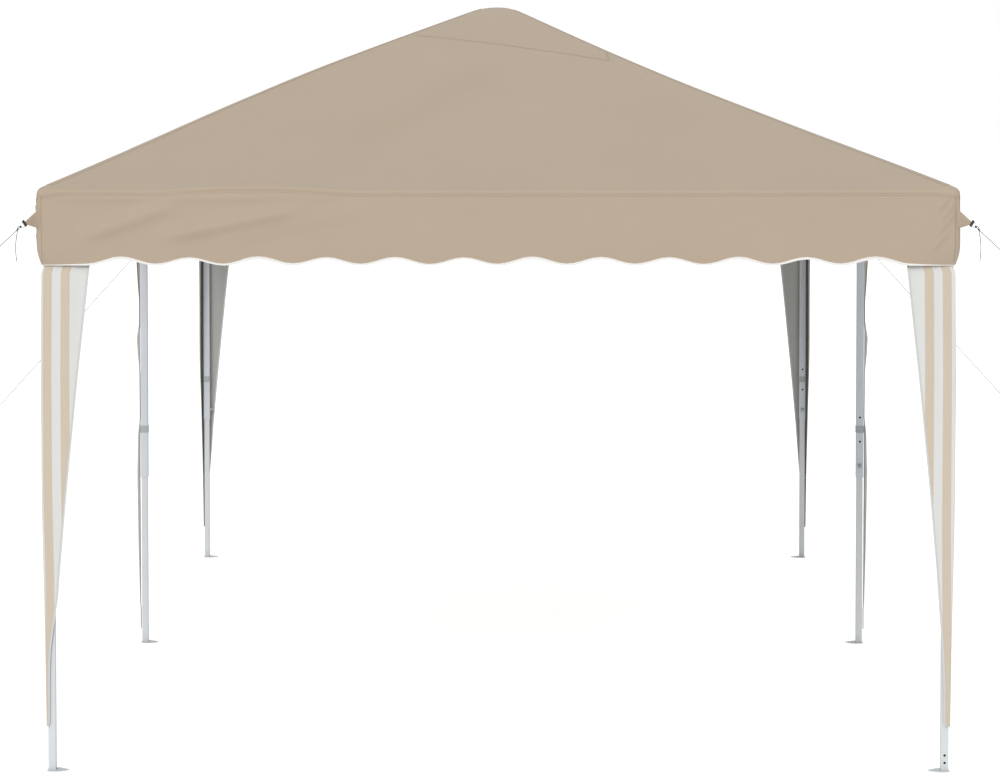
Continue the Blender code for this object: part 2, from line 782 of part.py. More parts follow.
def peg_shape(foot, outward):
    """A round steel peg that leans away from the tent, hooked at its top and cut off at the ground."""
    lean = outward * math.sin(PEG_LEAN) + Vector((0, 0, math.cos(PEG_LEAN)))
    side = outward * math.cos(PEG_LEAN) - Vector((0, 0, math.sin(PEG_LEAN)))
    neck = foot + lean * (PEG_HEIGHT - PEG_HOOK)
    points = [foot - lean * CUT_MARGIN]
    for step in range(PEG_HOOK_STEPS + 1):
        angle = math.pi * step / PEG_HOOK_STEPS
        reach = side * (1 - math.cos(angle)) + lean * math.sin(angle)
        points.append(neck + reach * (PEG_HOOK / 2))
    return points


def build_ropes(rope, steel):
    """A taut guy rope from each corner ear to its peg."""
    for side, x_sign in SIDES.items():
        for end, y_sign in ENDS.items():
            start, stop, outward = rope_line(x_sign, y_sign)
            tube_curve(f"guy_rope_{end}_{side}", [start, stop], ROPE_RADIUS, rope)
            slope = ROPE_END_HEIGHT * math.tan(PEG_LEAN)
            foot = stop + outward * (PEG_RADIUS / math.cos(PEG_LEAN) + 2 * ROPE_RADIUS - slope)
            foot.z = 0.0
            guide = tube_curve("peg guide", peg_shape(foot, outward), PEG_RADIUS, steel)
            ground = box(foot - Vector((PEG_HEIGHT,) * 3), foot + Vector((PEG_HEIGHT, PEG_HEIGHT, 0)))
            peg = fused("peg", [baked(guide)], [ground])
            add_object(f"peg_{end}_{side}", smoothed(peg), steel)


def main():
    clear_scene()
    cloth = finish("canopy cloth", (186, 171, 151), 0.85)
    stripes = finish("curtain cloth", (213, 203, 188), 0.85)
    steel = finish("grey painted steel", (178, 184, 188), 0.45, 0.3)
    light_steel = finish("light grey painted steel", (214, 216, 217), 0.45, 0.3)
    plastic = finish("black plastic", (38, 38, 40), 0.5)
    rope = finish("dark rope", (62, 62, 66), 0.9)
    zinc = finish("zinc plated steel", (160, 164, 168), 0.35, 0.9)
    build_canopy(cloth)
    build_legs(steel, light_steel)
    build_brackets(plastic)
    build_trusses(steel)
    build_peaks(steel)
    build_curtains(stripes)
    build_ropes(rope, zinc)


main()
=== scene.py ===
"""Looks of a pop-up party tent around its fixed frame.

The frame gives the tubes, brackets, trusses and pegs at their real size. This script makes
the sewn canopy and the leg curtains as cloth, the seams, tapes and stitches on them, the
twisted guy ropes with their fittings, and the rivets and bolts of the frame, and gives
every surface its finish. Lengths are in metres, +Z is up and the front faces -Y.
"""

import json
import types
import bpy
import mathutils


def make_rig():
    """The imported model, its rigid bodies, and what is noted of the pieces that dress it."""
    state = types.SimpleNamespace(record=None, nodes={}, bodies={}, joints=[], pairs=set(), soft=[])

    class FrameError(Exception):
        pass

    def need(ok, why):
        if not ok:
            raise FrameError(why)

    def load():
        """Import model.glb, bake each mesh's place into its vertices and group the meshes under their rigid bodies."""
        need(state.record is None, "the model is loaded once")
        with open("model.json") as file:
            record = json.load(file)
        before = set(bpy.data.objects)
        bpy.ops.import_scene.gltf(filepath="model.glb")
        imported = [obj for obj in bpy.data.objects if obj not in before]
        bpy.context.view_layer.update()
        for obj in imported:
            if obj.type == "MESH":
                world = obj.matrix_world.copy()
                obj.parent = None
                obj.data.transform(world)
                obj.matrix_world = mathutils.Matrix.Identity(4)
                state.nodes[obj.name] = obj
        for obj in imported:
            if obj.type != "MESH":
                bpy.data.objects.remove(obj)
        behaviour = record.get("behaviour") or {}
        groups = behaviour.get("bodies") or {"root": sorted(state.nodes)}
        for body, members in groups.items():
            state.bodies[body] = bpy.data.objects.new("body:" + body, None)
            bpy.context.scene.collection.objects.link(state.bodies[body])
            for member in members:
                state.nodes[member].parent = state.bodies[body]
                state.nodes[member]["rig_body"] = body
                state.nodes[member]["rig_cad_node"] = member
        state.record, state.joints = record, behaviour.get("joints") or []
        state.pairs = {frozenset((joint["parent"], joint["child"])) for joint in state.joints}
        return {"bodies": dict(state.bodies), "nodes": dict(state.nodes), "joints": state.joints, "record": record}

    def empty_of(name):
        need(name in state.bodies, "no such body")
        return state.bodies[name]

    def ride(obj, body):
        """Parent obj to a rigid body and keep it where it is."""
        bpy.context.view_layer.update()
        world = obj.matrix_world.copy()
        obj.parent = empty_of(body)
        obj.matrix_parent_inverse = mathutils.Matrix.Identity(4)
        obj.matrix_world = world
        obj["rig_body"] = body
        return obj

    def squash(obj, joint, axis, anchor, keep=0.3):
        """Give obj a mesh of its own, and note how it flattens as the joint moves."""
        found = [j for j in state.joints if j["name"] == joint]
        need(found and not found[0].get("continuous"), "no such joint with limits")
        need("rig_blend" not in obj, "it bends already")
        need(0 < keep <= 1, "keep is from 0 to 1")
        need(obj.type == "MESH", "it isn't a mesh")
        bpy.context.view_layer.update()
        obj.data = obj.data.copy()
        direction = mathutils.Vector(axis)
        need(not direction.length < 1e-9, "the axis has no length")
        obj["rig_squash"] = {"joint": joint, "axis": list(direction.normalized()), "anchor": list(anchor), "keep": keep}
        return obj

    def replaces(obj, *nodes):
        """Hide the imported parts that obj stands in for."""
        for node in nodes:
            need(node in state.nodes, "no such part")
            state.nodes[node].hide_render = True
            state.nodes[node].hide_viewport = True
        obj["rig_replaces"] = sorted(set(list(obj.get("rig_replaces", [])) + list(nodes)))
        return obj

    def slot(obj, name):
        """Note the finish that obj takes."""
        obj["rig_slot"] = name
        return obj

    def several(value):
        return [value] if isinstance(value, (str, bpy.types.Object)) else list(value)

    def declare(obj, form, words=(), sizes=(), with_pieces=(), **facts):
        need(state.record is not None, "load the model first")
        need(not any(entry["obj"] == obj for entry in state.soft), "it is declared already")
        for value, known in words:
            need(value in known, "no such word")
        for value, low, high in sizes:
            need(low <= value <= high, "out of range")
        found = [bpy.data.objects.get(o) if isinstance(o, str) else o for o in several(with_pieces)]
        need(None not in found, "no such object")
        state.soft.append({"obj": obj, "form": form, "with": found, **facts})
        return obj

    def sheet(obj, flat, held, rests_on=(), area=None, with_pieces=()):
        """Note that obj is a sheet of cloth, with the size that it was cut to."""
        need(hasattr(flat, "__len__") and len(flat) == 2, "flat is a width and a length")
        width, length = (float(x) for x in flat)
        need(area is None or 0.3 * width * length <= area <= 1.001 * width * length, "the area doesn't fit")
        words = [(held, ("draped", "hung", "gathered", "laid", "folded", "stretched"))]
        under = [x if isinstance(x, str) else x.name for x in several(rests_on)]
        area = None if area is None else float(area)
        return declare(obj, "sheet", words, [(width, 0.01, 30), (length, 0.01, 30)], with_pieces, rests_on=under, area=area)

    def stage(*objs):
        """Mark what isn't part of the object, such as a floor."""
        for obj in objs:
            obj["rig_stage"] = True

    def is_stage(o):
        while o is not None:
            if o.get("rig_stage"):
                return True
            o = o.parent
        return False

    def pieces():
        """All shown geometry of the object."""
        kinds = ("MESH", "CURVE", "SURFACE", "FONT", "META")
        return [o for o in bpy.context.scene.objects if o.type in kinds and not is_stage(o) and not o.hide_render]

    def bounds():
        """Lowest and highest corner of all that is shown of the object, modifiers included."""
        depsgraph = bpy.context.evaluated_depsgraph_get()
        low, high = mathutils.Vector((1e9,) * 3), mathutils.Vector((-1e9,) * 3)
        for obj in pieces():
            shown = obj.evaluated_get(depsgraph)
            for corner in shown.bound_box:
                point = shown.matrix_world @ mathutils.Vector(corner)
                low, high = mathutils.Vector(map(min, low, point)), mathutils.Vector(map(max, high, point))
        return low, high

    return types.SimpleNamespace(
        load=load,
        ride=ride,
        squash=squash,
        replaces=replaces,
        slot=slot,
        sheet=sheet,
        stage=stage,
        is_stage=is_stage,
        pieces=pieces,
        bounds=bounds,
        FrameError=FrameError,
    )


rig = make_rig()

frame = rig.load()

import json
import logging
import math
from collections.abc import Callable, Iterable, Sequence
from dataclasses import dataclass
from enum import Enum

import bmesh
import bpy
import numpy as np
from mathutils import Matrix, Vector

SIZE_FILE = "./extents.json"
FIXED_BODY = "canopy_and_frame"
MM = 0.001
SMOOTH_ANGLE = math.radians(35)
CRISP_ANGLE = math.radians(28)

# The legs' axes, and the heights of the scissors' upper and lower pivots
LEG_X = 1.460
LEG_Y = 2.960
PIVOTS = (1.858, 1.708)

Colour = tuple[float, float, float, float]
Point = Sequence[float]
Object = bpy.types.Object
Material = bpy.types.Material
Tree = bpy.types.NodeTree
Node = bpy.types.Node
Socket = bpy.types.NodeSocket


class Option(Enum):
    """A choice whose name is also part of a piece's name."""

    def __str__(self) -> str:
        """The name in small letters."""
        return self.name.lower()


class Side(Option):
    """The left and right of the tent, seen from the front."""

    LEFT = -1
    RIGHT = 1


class Row(Option):
    """The rows of legs along the tent."""

    FRONT = -1
    MIDDLE = 0
    REAR = 1


class Slot(Enum):
    """The record's material slots."""

    CANOPY = "canopy_cloth"
    CURTAIN = "curtain_cloth"
    STEEL = "grey_steel"
    LIGHT_STEEL = "light_grey_steel"
    PLASTIC = "black_plastic"
    ROPE = "guy_rope"
    ZINC = "zinc_steel"


ENDS = (Row.FRONT, Row.REAR)


# Nodes and colours


def linear(code: str) -> Colour:
    """Turn an sRGB colour into the linear one that a shader takes.

    Args:
        code: six hex digits, with or without a leading hash.

    Returns:
        Linear red, green and blue, and an alpha of one.
    """
    digits = code.lstrip("#")
    levels = [int(digits[place : place + 2], 16) / 255 for place in (0, 2, 4)]
    red, green, blue = (
        level / 12.92 if level <= 0.04045 else ((level + 0.055) / 1.055) ** 2.4 for level in levels
    )
    return red, green, blue, 1.0


def fill(tree: Tree, made: Node, inputs: dict) -> None:
    """Give a node's inputs, by name or number, their values or the sockets to link from."""
    for socket, value in inputs.items():
        if isinstance(value, Socket):
            tree.links.new(value, made.inputs[socket])
        else:
            made.inputs[socket].default_value = value


def node(tree: Tree, kind: str, inputs: dict | None = None, **settings: object) -> Node:
    """Add a node, give it its settings, and set or link its inputs.

    Args:
        tree: the node tree to add to.
        kind: the node's type.
        inputs: for each socket, by name or number, a value or the socket to link from.
        **settings: the node's own properties.

    Returns:
        The new node.
    """
    made = tree.nodes.new(kind)
    for name, value in settings.items():
        setattr(made, name, value)
    fill(tree, made, inputs or {})
    return made


def maths(tree: Tree, operation: str, *values: Socket | float) -> Socket:
    """The result of a Math node."""
    return node(tree, "ShaderNodeMath", dict(enumerate(values)), operation=operation).outputs[0]


def noise(tree: Tree, place: Socket, size: float, **inputs: float) -> Socket:
    """Noise with patches of about one size, in metres."""
    return node(tree, "ShaderNodeTexNoise", {"Vector": place, "Scale": 1 / size, **inputs}).outputs["Fac"]


def ranged(
    tree: Tree, value: Socket, low: float, high: float, start: float = 0.0, stop: float = 1.0
) -> Socket:
    """A value carried from the range of start to stop to the range of low to high."""
    inputs = {"Value": value, "From Min": start, "From Max": stop, "To Min": low, "To Max": high}
    return node(tree, "ShaderNodeMapRange", inputs).outputs["Result"]


def darkened(tree: Tree, colour: Socket | Colour, shade: Socket) -> Socket:
    """A colour multiplied by a shade."""
    inputs = {0: 1.0, 6: colour, 7: shade}
    return node(tree, "ShaderNodeMix", inputs, data_type="RGBA", blend_type="MULTIPLY").outputs[2]


def relief(tree: Tree, height: Socket, depth: float, **under: Socket) -> Socket:
    """A bump with a depth in metres, laid over another bump where its Normal is given."""
    return node(tree, "ShaderNodeBump", {"Height": height, "Distance": depth, **under}).outputs["Normal"]


def own_place(tree: Tree) -> Socket:
    """Places in the piece's own coordinates, in metres."""
    return node(tree, "ShaderNodeTexCoord").outputs["Object"]


# Finishes


@dataclass(frozen=True)
class Finish:
    """A surface finish: its name, colour, roughness and metal, and the size and depth of its soft patches."""

    name: str
    colour: str
    roughness: float
    metallic: float = 0.0
    specular: float = 0.5
    sheen: float = 0.0
    patch: float = 0.12
    patch_depth: float = 0.05

    def material(self) -> Material:
        """Make the material with its colour, roughness and relief linked in."""
        made = bpy.data.materials.new(self.name)
        made.use_nodes = True
        tree = made.node_tree
        plain = {
            "Base Color": linear(self.colour),
            "Roughness": self.roughness,
            "Metallic": self.metallic,
            "Specular IOR Level": self.specular,
            "Sheen Weight": self.sheen,
        }
        fill(tree, tree.nodes["Principled BSDF"], plain | self.pattern(tree))
        made.diffuse_color = linear(self.colour)
        return made

    def pattern(self, tree: Tree) -> dict[str, Socket | float | Colour]:
        """The shader's inputs that vary over the surface. Each kind of finish has its own."""
        return {}

    def uneven(self, tree: Tree, place: Socket, base: Socket | Colour | None = None) -> Socket:
        """Vary a colour softly over the surface, in this finish's patches.

        Args:
            tree: the material's tree.
            place: the coordinates that the variation follows, in metres.
            base: the colour to vary, where it isn't the finish's own.

        Returns:
            The varied colour's socket.
        """
        shade = ranged(tree, noise(tree, place, self.patch, Detail=3.0), 1 - self.patch_depth, 1.0, 0.3, 0.7)
        return darkened(tree, linear(self.colour) if base is None else base, shade)


@dataclass(frozen=True)
class WovenPolyester(Finish):
    """Plain-woven polyester with a matt water-repellent coat.

    To the eye it is an even, dull cloth with hardly any gloss, a fine crossing of threads
    close up, and faint soft patches where it has been folded.
    """

    patch: float = 0.35
    patch_depth: float = 0.03
    # Real threads lie about 0.4 mm apart. They are drawn at this pitch so that they show.
    thread_pitch: float = 2.0 * MM
    thread_depth: float = 0.10 * MM
    crease_size: float = 0.16
    crease_depth: float = 0.7 * MM
    stripe: str = ""
    stripe_edges: tuple[tuple[float, float], ...] = ()

    def base(self, tree: Tree, across: Socket) -> Socket | Colour:
        """The plain colour, or the stripes that run down the cloth at set distances across it."""
        if not self.stripe_edges:
            return linear(self.colour)
        reach = self.stripe_edges[-1][1] * 2
        ramp = node(tree, "ShaderNodeValToRGB", {"Fac": maths(tree, "DIVIDE", across, reach)})
        ramp.color_ramp.interpolation = "CONSTANT"
        elements = ramp.color_ramp.elements
        elements[0].color = linear(self.colour)
        elements[1].position = self.stripe_edges[0][0] / reach
        elements[1].color = linear(self.stripe)
        for number, (start, end) in enumerate(self.stripe_edges):
            if number:
                elements.new(start / reach).color = linear(self.stripe)
            elements.new(end / reach).color = linear(self.colour)
        return ramp.outputs["Color"]

    def pattern(self, tree: Tree) -> dict[str, Socket]:
        """The threads, the soft creases and the faint patches of colour."""
        place = node(tree, "ShaderNodeUVMap", uv_map="cloth").outputs["UV"]
        apart = node(tree, "ShaderNodeSeparateXYZ", {"Vector": place}).outputs
        turns = 2 * math.pi / self.thread_pitch
        threads = [maths(tree, "SINE", maths(tree, "MULTIPLY", apart[axis], turns)) for axis in ("X", "Y")]
        weave = maths(tree, "MULTIPLY", *threads)
        crease = noise(tree, place, self.crease_size, Detail=4.0, Roughness=0.45, Distortion=0.6)
        soft = relief(tree, crease, self.crease_depth)
        return {
            "Base Color": self.uneven(tree, place, self.base(tree, apart["X"])),
            "Roughness": ranged(tree, weave, self.roughness - 0.04, self.roughness, -1.0),
            "Normal": relief(tree, weave, self.thread_depth, Normal=soft),
        }


@dataclass(frozen=True)
class PowderCoat(Finish):
    """Powder-coated steel tube.

    To the eye it is a satin paint with a faint orange-peel relief, a few duller patches
    from handling, and small darker specks.
    """

    peel: float = 3.0 * MM
    peel_depth: float = 0.06 * MM
    speck: float = 6.0 * MM
    handled: float = 1 / 14

    def pattern(self, tree: Tree) -> dict[str, Socket]:
        """The orange-peel relief, the specks and the handled patches."""
        place = own_place(tree)
        specks = node(tree, "ShaderNodeTexVoronoi", {"Vector": place, "Scale": 1 / self.speck})
        spotted = ranged(tree, specks.outputs["Distance"], 0.82, 1.0, 0.05, 0.12)
        handled = noise(tree, place, self.handled, Detail=4.0)
        return {
            "Base Color": darkened(tree, self.uneven(tree, place), spotted),
            "Roughness": ranged(tree, handled, self.roughness - 0.08, self.roughness + 0.1),
            "Normal": relief(tree, noise(tree, place, self.peel, Detail=1.0), self.peel_depth),
        }


@dataclass(frozen=True)
class MouldedPlastic(Finish):
    """Injection-moulded nylon.

    To the eye it is a dark, slightly waxy plastic with the fine even grain of a spark-eroded
    mould and faint patches that rubbing has left.
    """

    patch: float = 0.03
    patch_depth: float = 0.25
    grain: float = 1.2 * MM
    grain_depth: float = 0.08 * MM

    def pattern(self, tree: Tree) -> dict[str, Socket]:
        """The mould's grain and the faint rubbed patches."""
        place = own_place(tree)
        grain = noise(tree, place, self.grain, Detail=2.0)
        return {
            "Base Color": self.uneven(tree, place),
            "Roughness": ranged(tree, grain, self.roughness - 0.07, self.roughness + 0.07),
            "Normal": relief(tree, grain, self.grain_depth),
        }


@dataclass(frozen=True)
class ZincPlate(Finish):
    """Zinc-plated steel.

    To the eye it is a pale bluish metal, softly mottled by its passivation, with rougher
    and smoother patches that break up its reflections.
    """

    patch: float = 5.0 * MM
    patch_depth: float = 0.18

    def pattern(self, tree: Tree) -> dict[str, Socket]:
        """The mottled colour and roughness."""
        place = own_place(tree)
        cloud = noise(tree, place, self.patch, Detail=3.0)
        return {
            "Base Color": self.uneven(tree, place),
            "Roughness": ranged(tree, cloud, self.roughness - 0.1, self.roughness + 0.15),
        }


@dataclass(frozen=True)
class TwistedCord(Finish):
    """Twisted polypropylene cord.

    To the eye it is a dull dark line whose strands catch a little light, with a fuzz of
    broken filaments between them.
    """

    patch: float = 2.5 * MM
    patch_depth: float = 0.3
    fuzz: float = 0.8 * MM
    fuzz_depth: float = 0.1 * MM

    def pattern(self, tree: Tree) -> dict[str, Socket]:
        """The filaments' mottled colour and relief."""
        place = own_place(tree)
        return {
            "Base Color": self.uneven(tree, place),
            "Normal": relief(tree, noise(tree, place, self.fuzz, Detail=2.0), self.fuzz_depth),
        }


@dataclass(frozen=True)
class StudioFloor(Finish):
    """A matt white studio table, lit faintly through from below so that shadows on it stay pale."""

    patch: float = 2.5
    patch_depth: float = 0.006
    glow: float = 0.80

    def pattern(self, tree: Tree) -> dict[str, Socket | float | Colour]:
        """A faint unevenness in the paint, and the light from below."""
        return {
            "Base Color": self.uneven(tree, own_place(tree)),
            "Emission Color": (1, 1, 1, 1),
            "Emission Strength": self.glow,
        }


FINISHES = {
    "canopy": WovenPolyester("taupe woven polyester", "978978", 0.88, specular=0.25, sheen=0.12),
    "curtain": WovenPolyester(
        "striped woven polyester",
        "b6b6b4",
        0.85,
        specular=0.25,
        sheen=0.08,
        crease_depth=0.4 * MM,
        stripe="aa9f8f",
        stripe_edges=((0.012, 0.041), (0.070, 0.100)),
    ),
    "tape": WovenPolyester(
        "off-white woven binding tape", "c6c3bf", 0.85, specular=0.25, thread_pitch=1.2 * MM
    ),
    "hem": WovenPolyester(
        "plain white woven polyester", "b0b1b0", 0.85, specular=0.25, crease_depth=0.2 * MM
    ),
    # The curtain's unprinted back, grey rather than white: partly its own plain colour, partly painted shade for the
    # curtains' shaded inner faces.
    "lining": WovenPolyester(
        "plain off-white woven polyester", "9a9b98", 0.88, specular=0.2, crease_depth=0.4 * MM
    ),
    "thread": TwistedCord("taupe spun polyester sewing thread", "8e8170", 0.8, specular=0.3),
    "pale thread": TwistedCord("off-white spun polyester sewing thread", "bcb8b1", 0.8, specular=0.3),
    "webbing": WovenPolyester(
        "black woven webbing", "2a2a2c", 0.8, thread_pitch=1.6 * MM, thread_depth=0.2 * MM
    ),
    "steel": PowderCoat("grey powder-coated steel", "aeb3b8", 0.45),
    "collar": PowderCoat("mid grey powder-coated steel", "8e9396", 0.5),
    "light steel": PowderCoat("light grey powder-coated steel", "b0b4b7", 0.45),
    "plastic": MouldedPlastic("black moulded nylon", "262628", 0.5),
    # Black rubber for the foot screws. On the height holes the same black is painted shade, standing for the holes'
    # dark insides.
    "plug": MouldedPlastic("black moulded rubber", "0c0c0d", 0.7, specular=0.2),
    "zinc": ZincPlate("zinc-plated steel", "c3c6ca", 0.32, metallic=1.0),
    "rope": TwistedCord("dark grey twisted polypropylene", "4a4a4e", 0.85, specular=0.3),
    "floor": StudioFloor("matt white studio table top", "9a9a9a", 0.9, specular=0.1),
}


class Palette:
    """The materials, each made once and found by its plain name."""

    def __init__(self, finishes: dict[str, Finish]) -> None:
        """Make every material.

        Args:
            finishes: the finishes by plain name.
        """
        self.made = {name: finish.material() for name, finish in finishes.items()}

    def __getitem__(self, name: str) -> Material:
        """The material with that plain name."""
        return self.made[name]


# Meshes


def link(name: str, mesh: bpy.types.Mesh) -> Object:
    """Put a mesh in the scene under a name."""
    made = bpy.data.objects.new(name, mesh)
    bpy.context.scene.collection.objects.link(made)
    return made


def discard(*things: Object) -> None:
    """Take scratch objects away."""
    for thing in things:
        bpy.data.objects.remove(thing, do_unlink=True)


def baked(name: str, source: Object) -> Object:
    """Keep an object's evaluated shape as a plain mesh.

    Args:
        name: the new object's name.
        source: the object to evaluate. It is taken away.

    Returns:
        The new object, with no modifiers.
    """
    graph = bpy.context.evaluated_depsgraph_get()
    mesh = bpy.data.meshes.new_from_object(source.evaluated_get(graph))
    discard(source)
    mesh.name = name
    return link(name, mesh)


def smooth(thing: Object, angle: float = SMOOTH_ANGLE) -> Object:
    """Shade a piece smooth, with edges sharper than the angle kept crisp."""
    thing.data.shade_smooth()
    thing.data.set_sharp_from_angle(angle=angle)
    return thing


def cleaned(thing: Object, distance: float = 0.00002) -> Object:
    """Merge a mesh's doubled points and turn its faces outward.

    Args:
        thing: the mesh object to clean.
        distance: how close two points are to be merged, in metres.

    Returns:
        The same object.
    """
    shape = bmesh.new()
    shape.from_mesh(thing.data)
    bmesh.ops.remove_doubles(shape, verts=shape.verts, dist=distance)
    bmesh.ops.recalc_face_normals(shape, faces=shape.faces)
    shape.to_mesh(thing.data)
    shape.free()
    return thing


def mesh_of(
    name: str, points: Iterable[Point], faces: Iterable[Sequence[int]], places: Sequence[Point] | None = None
) -> Object:
    """Make a mesh object from points and faces.

    Args:
        name: the object's name.
        points: the points in metres.
        faces: the faces as point numbers.
        places: each face corner's place on the flat cloth in metres, for the weave.

    Returns:
        The new object.
    """
    mesh = bpy.data.meshes.new(name)
    mesh.from_pydata([tuple(map(float, point)) for point in points], [], list(faces))
    if places is not None:
        layer = mesh.uv_layers.new(name="cloth")
        layer.data.foreach_set("uv", np.asarray(places, np.float32).ravel())
    mesh.update()
    return link(name, mesh)


def line_of(name: str, points: Sequence[Point], closed: bool = False) -> Object:
    """Make an open or closed line of edges that a Geometry Nodes tree can follow."""
    count = len(points)
    edges = [(place, (place + 1) % count) for place in range(count if closed else count - 1)]
    mesh = bpy.data.meshes.new(name)
    mesh.from_pydata([tuple(map(float, point)) for point in points], edges, [])
    return link(name, mesh)


def meshed(name: str, shape: bmesh.types.BMesh) -> Object:
    """Turn a working mesh into an object, and free it."""
    mesh = bpy.data.meshes.new(name)
    shape.to_mesh(mesh)
    shape.free()
    return link(name, mesh)


def grid(rows: int, wide: int, looped: bool = False, back: bool = False) -> list[tuple[int, ...]]:
    """The faces between rows of points.

    Args:
        rows: how many rows there are.
        wide: how many points a row has.
        looped: whether each row runs back to its start.
        back: whether the last row joins the first.

    Returns:
        The faces as point numbers, row by row.
    """
    faces = []
    for row in range(rows if back else rows - 1):
        low, high = row * wide, (row + 1) % rows * wide
        for step in range(wide if looped else wide - 1):
            after = (step + 1) % wide
            faces.append((low + step, low + after, high + after, high + step))
    return faces


def thickened(
    sheet: Object,
    thickness: float,
    offset: float = -1.0,
    finishes: Sequence[Material] = (),
) -> Object:
    """Give a sheet its thickness with a Solidify modifier.

    Args:
        sheet: the open sheet, whose faces point outward.
        thickness: in metres.
        offset: -1 to grow inward, 1 to grow outward, 0 for both.
        finishes: the outer face's material and the inner face's, where they differ.

    Returns:
        A new closed object under the sheet's name.
    """
    name = sheet.name
    for finish in finishes:
        sheet.data.materials.append(finish)
    solid = sheet.modifiers.new("cloth", "SOLIDIFY")
    solid.thickness = thickness
    solid.offset = offset
    solid.use_even_offset = True
    solid.material_offset = max(len(finishes) - 1, 0)
    sheet.name = name + "_sheet"
    return baked(name, sheet)


def dressed(
    thing: Object,
    material: Material | None,
    slot: Slot | None = None,
    body: str = FIXED_BODY,
) -> Object:
    """Give a piece its material, the record's slot and the body that it rides on.

    Args:
        thing: the finished piece.
        material: its only material, or None to keep the ones that it has.
        slot: the record's slot that the finish comes from, where it has one.
        body: the body that carries the piece.

    Returns:
        The same object.
    """
    if material:
        thing.data.materials.clear()
        thing.data.materials.append(material)
    if slot:
        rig.slot(thing, slot.value)
    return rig.ride(thing, body)


# Geometry Nodes


class Grower:
    """A Geometry Nodes tree with named inputs, run on an object to make a plain mesh."""

    def __init__(self, name: str, sizes: dict[str, float]) -> None:
        """Start a tree.

        Args:
            name: the tree's name.
            sizes: the named sizes that the tree takes, with their usual values.
        """
        self.tree = bpy.data.node_groups.new(name, "GeometryNodeTree")
        face = self.tree.interface
        face.new_socket("Geometry", in_out="INPUT", socket_type="NodeSocketGeometry")
        for label, value in sizes.items():
            face.new_socket(label, in_out="INPUT", socket_type="NodeSocketFloat").default_value = value
        face.new_socket("Material", in_out="INPUT", socket_type="NodeSocketMaterial")
        face.new_socket("Geometry", in_out="OUTPUT", socket_type="NodeSocketGeometry")
        self.given = node(self.tree, "NodeGroupInput").outputs

    def add(self, kind: str, inputs: dict | None = None, **settings: object) -> Node:
        """Add a node to this tree."""
        return node(self.tree, kind, inputs, **settings)

    def end(self, geometry: Socket) -> None:
        """Close the tree: make instances real, set the material and hand the result out."""
        real = self.add("GeometryNodeRealizeInstances", {"Geometry": geometry})
        smoothed = self.add("GeometryNodeSetShadeSmooth", {"Geometry": real.outputs["Geometry"]})
        finish = {"Geometry": smoothed.outputs["Geometry"], "Material": self.given["Material"]}
        painted = self.add("GeometryNodeSetMaterial", finish)
        self.add("NodeGroupOutput", {"Geometry": painted.outputs["Geometry"]})

    def run(
        self, name: str, source: Object, material: Material, **sizes: float
    ) -> Object:
        """Grow the tree's result on an object.

        Args:
            name: the new piece's name.
            source: the object that the tree reads. It is taken away.
            material: the finish of the result.
            **sizes: values for the named inputs, with _ for a space.

        Returns:
            The result as a plain mesh object.
        """
        modifier = source.modifiers.new("grow", "NODES")
        modifier.node_group = self.tree
        values = {label.replace("_", " "): value for label, value in sizes.items()} | {"Material": material}
        for item in self.tree.interface.items_tree:
            if item.in_out == "INPUT" and item.name in values:
                modifier[item.identifier] = values[item.name]
        return baked(name, source)

    def line(self) -> Socket:
        """The given line as a curve."""
        return self.add("GeometryNodeMeshToCurve", {"Mesh": self.given["Geometry"]}).outputs["Curve"]

    def spaced(self, step: str) -> Socket:
        """The given line as a curve with its points an even step apart."""
        inputs = {"Curve": self.line(), "Length": self.given[step]}
        return self.add("GeometryNodeResampleCurve", inputs, mode="LENGTH").outputs["Curve"]

    def copies(self, points: Socket, shape: Socket, facing: Socket, **scale: Socket) -> Socket:
        """A shape on each point, its +Z axis turned to face a way."""
        turned = self.add("FunctionNodeAlignRotationToVector", {"Vector": facing}, axis="Z")
        inputs = {"Points": points, "Instance": shape, "Rotation": turned.outputs["Rotation"], **scale}
        return self.add("GeometryNodeInstanceOnPoints", inputs).outputs["Instances"]

    def swept(self, curve: Socket, profile: Socket) -> Socket:
        """A profile swept along a curve, closed at its ends."""
        inputs = {"Curve": curve, "Profile Curve": profile, "Fill Caps": True}
        return self.add("GeometryNodeCurveToMesh", inputs).outputs["Mesh"]


def stitch_grower() -> Grower:
    """Stitches laid end to end along a line, each a short thread with four sides."""
    grower = Grower("stitches", {"Pitch": 7 * MM, "Stitch": 5 * MM, "Thread": 0.5 * MM})
    sizes = {"Vertices": 4, "Radius": grower.given["Thread"], "Depth": grower.given["Stitch"]}
    thread = grower.add("GeometryNodeMeshCylinder", sizes)
    along = grower.add("GeometryNodeInputTangent")
    grower.end(grower.copies(grower.spaced("Pitch"), thread.outputs["Mesh"], along.outputs["Tangent"]))
    return grower


def tape_grower() -> Grower:
    """A flat tape swept along a line, standing upright, with rounded edges."""
    grower = Grower("swept tape", {"Height": 10 * MM, "Thickness": 2 * MM, "Rounding": 0.8 * MM})
    upright = grower.add("GeometryNodeSetCurveNormal", {"Curve": grower.line()}, mode="Z_UP")
    sizes = {"Width": grower.given["Thickness"], "Height": grower.given["Height"]}
    flat = grower.add("GeometryNodeCurvePrimitiveQuadrilateral", sizes).outputs["Curve"]
    sizes = {"Curve": flat, "Radius": grower.given["Rounding"], "Count": 2, "Limit Radius": True}
    rounded = grower.add("GeometryNodeFilletCurve", sizes, mode="POLY")
    grower.end(grower.swept(upright.outputs["Curve"], rounded.outputs["Curve"]))
    return grower


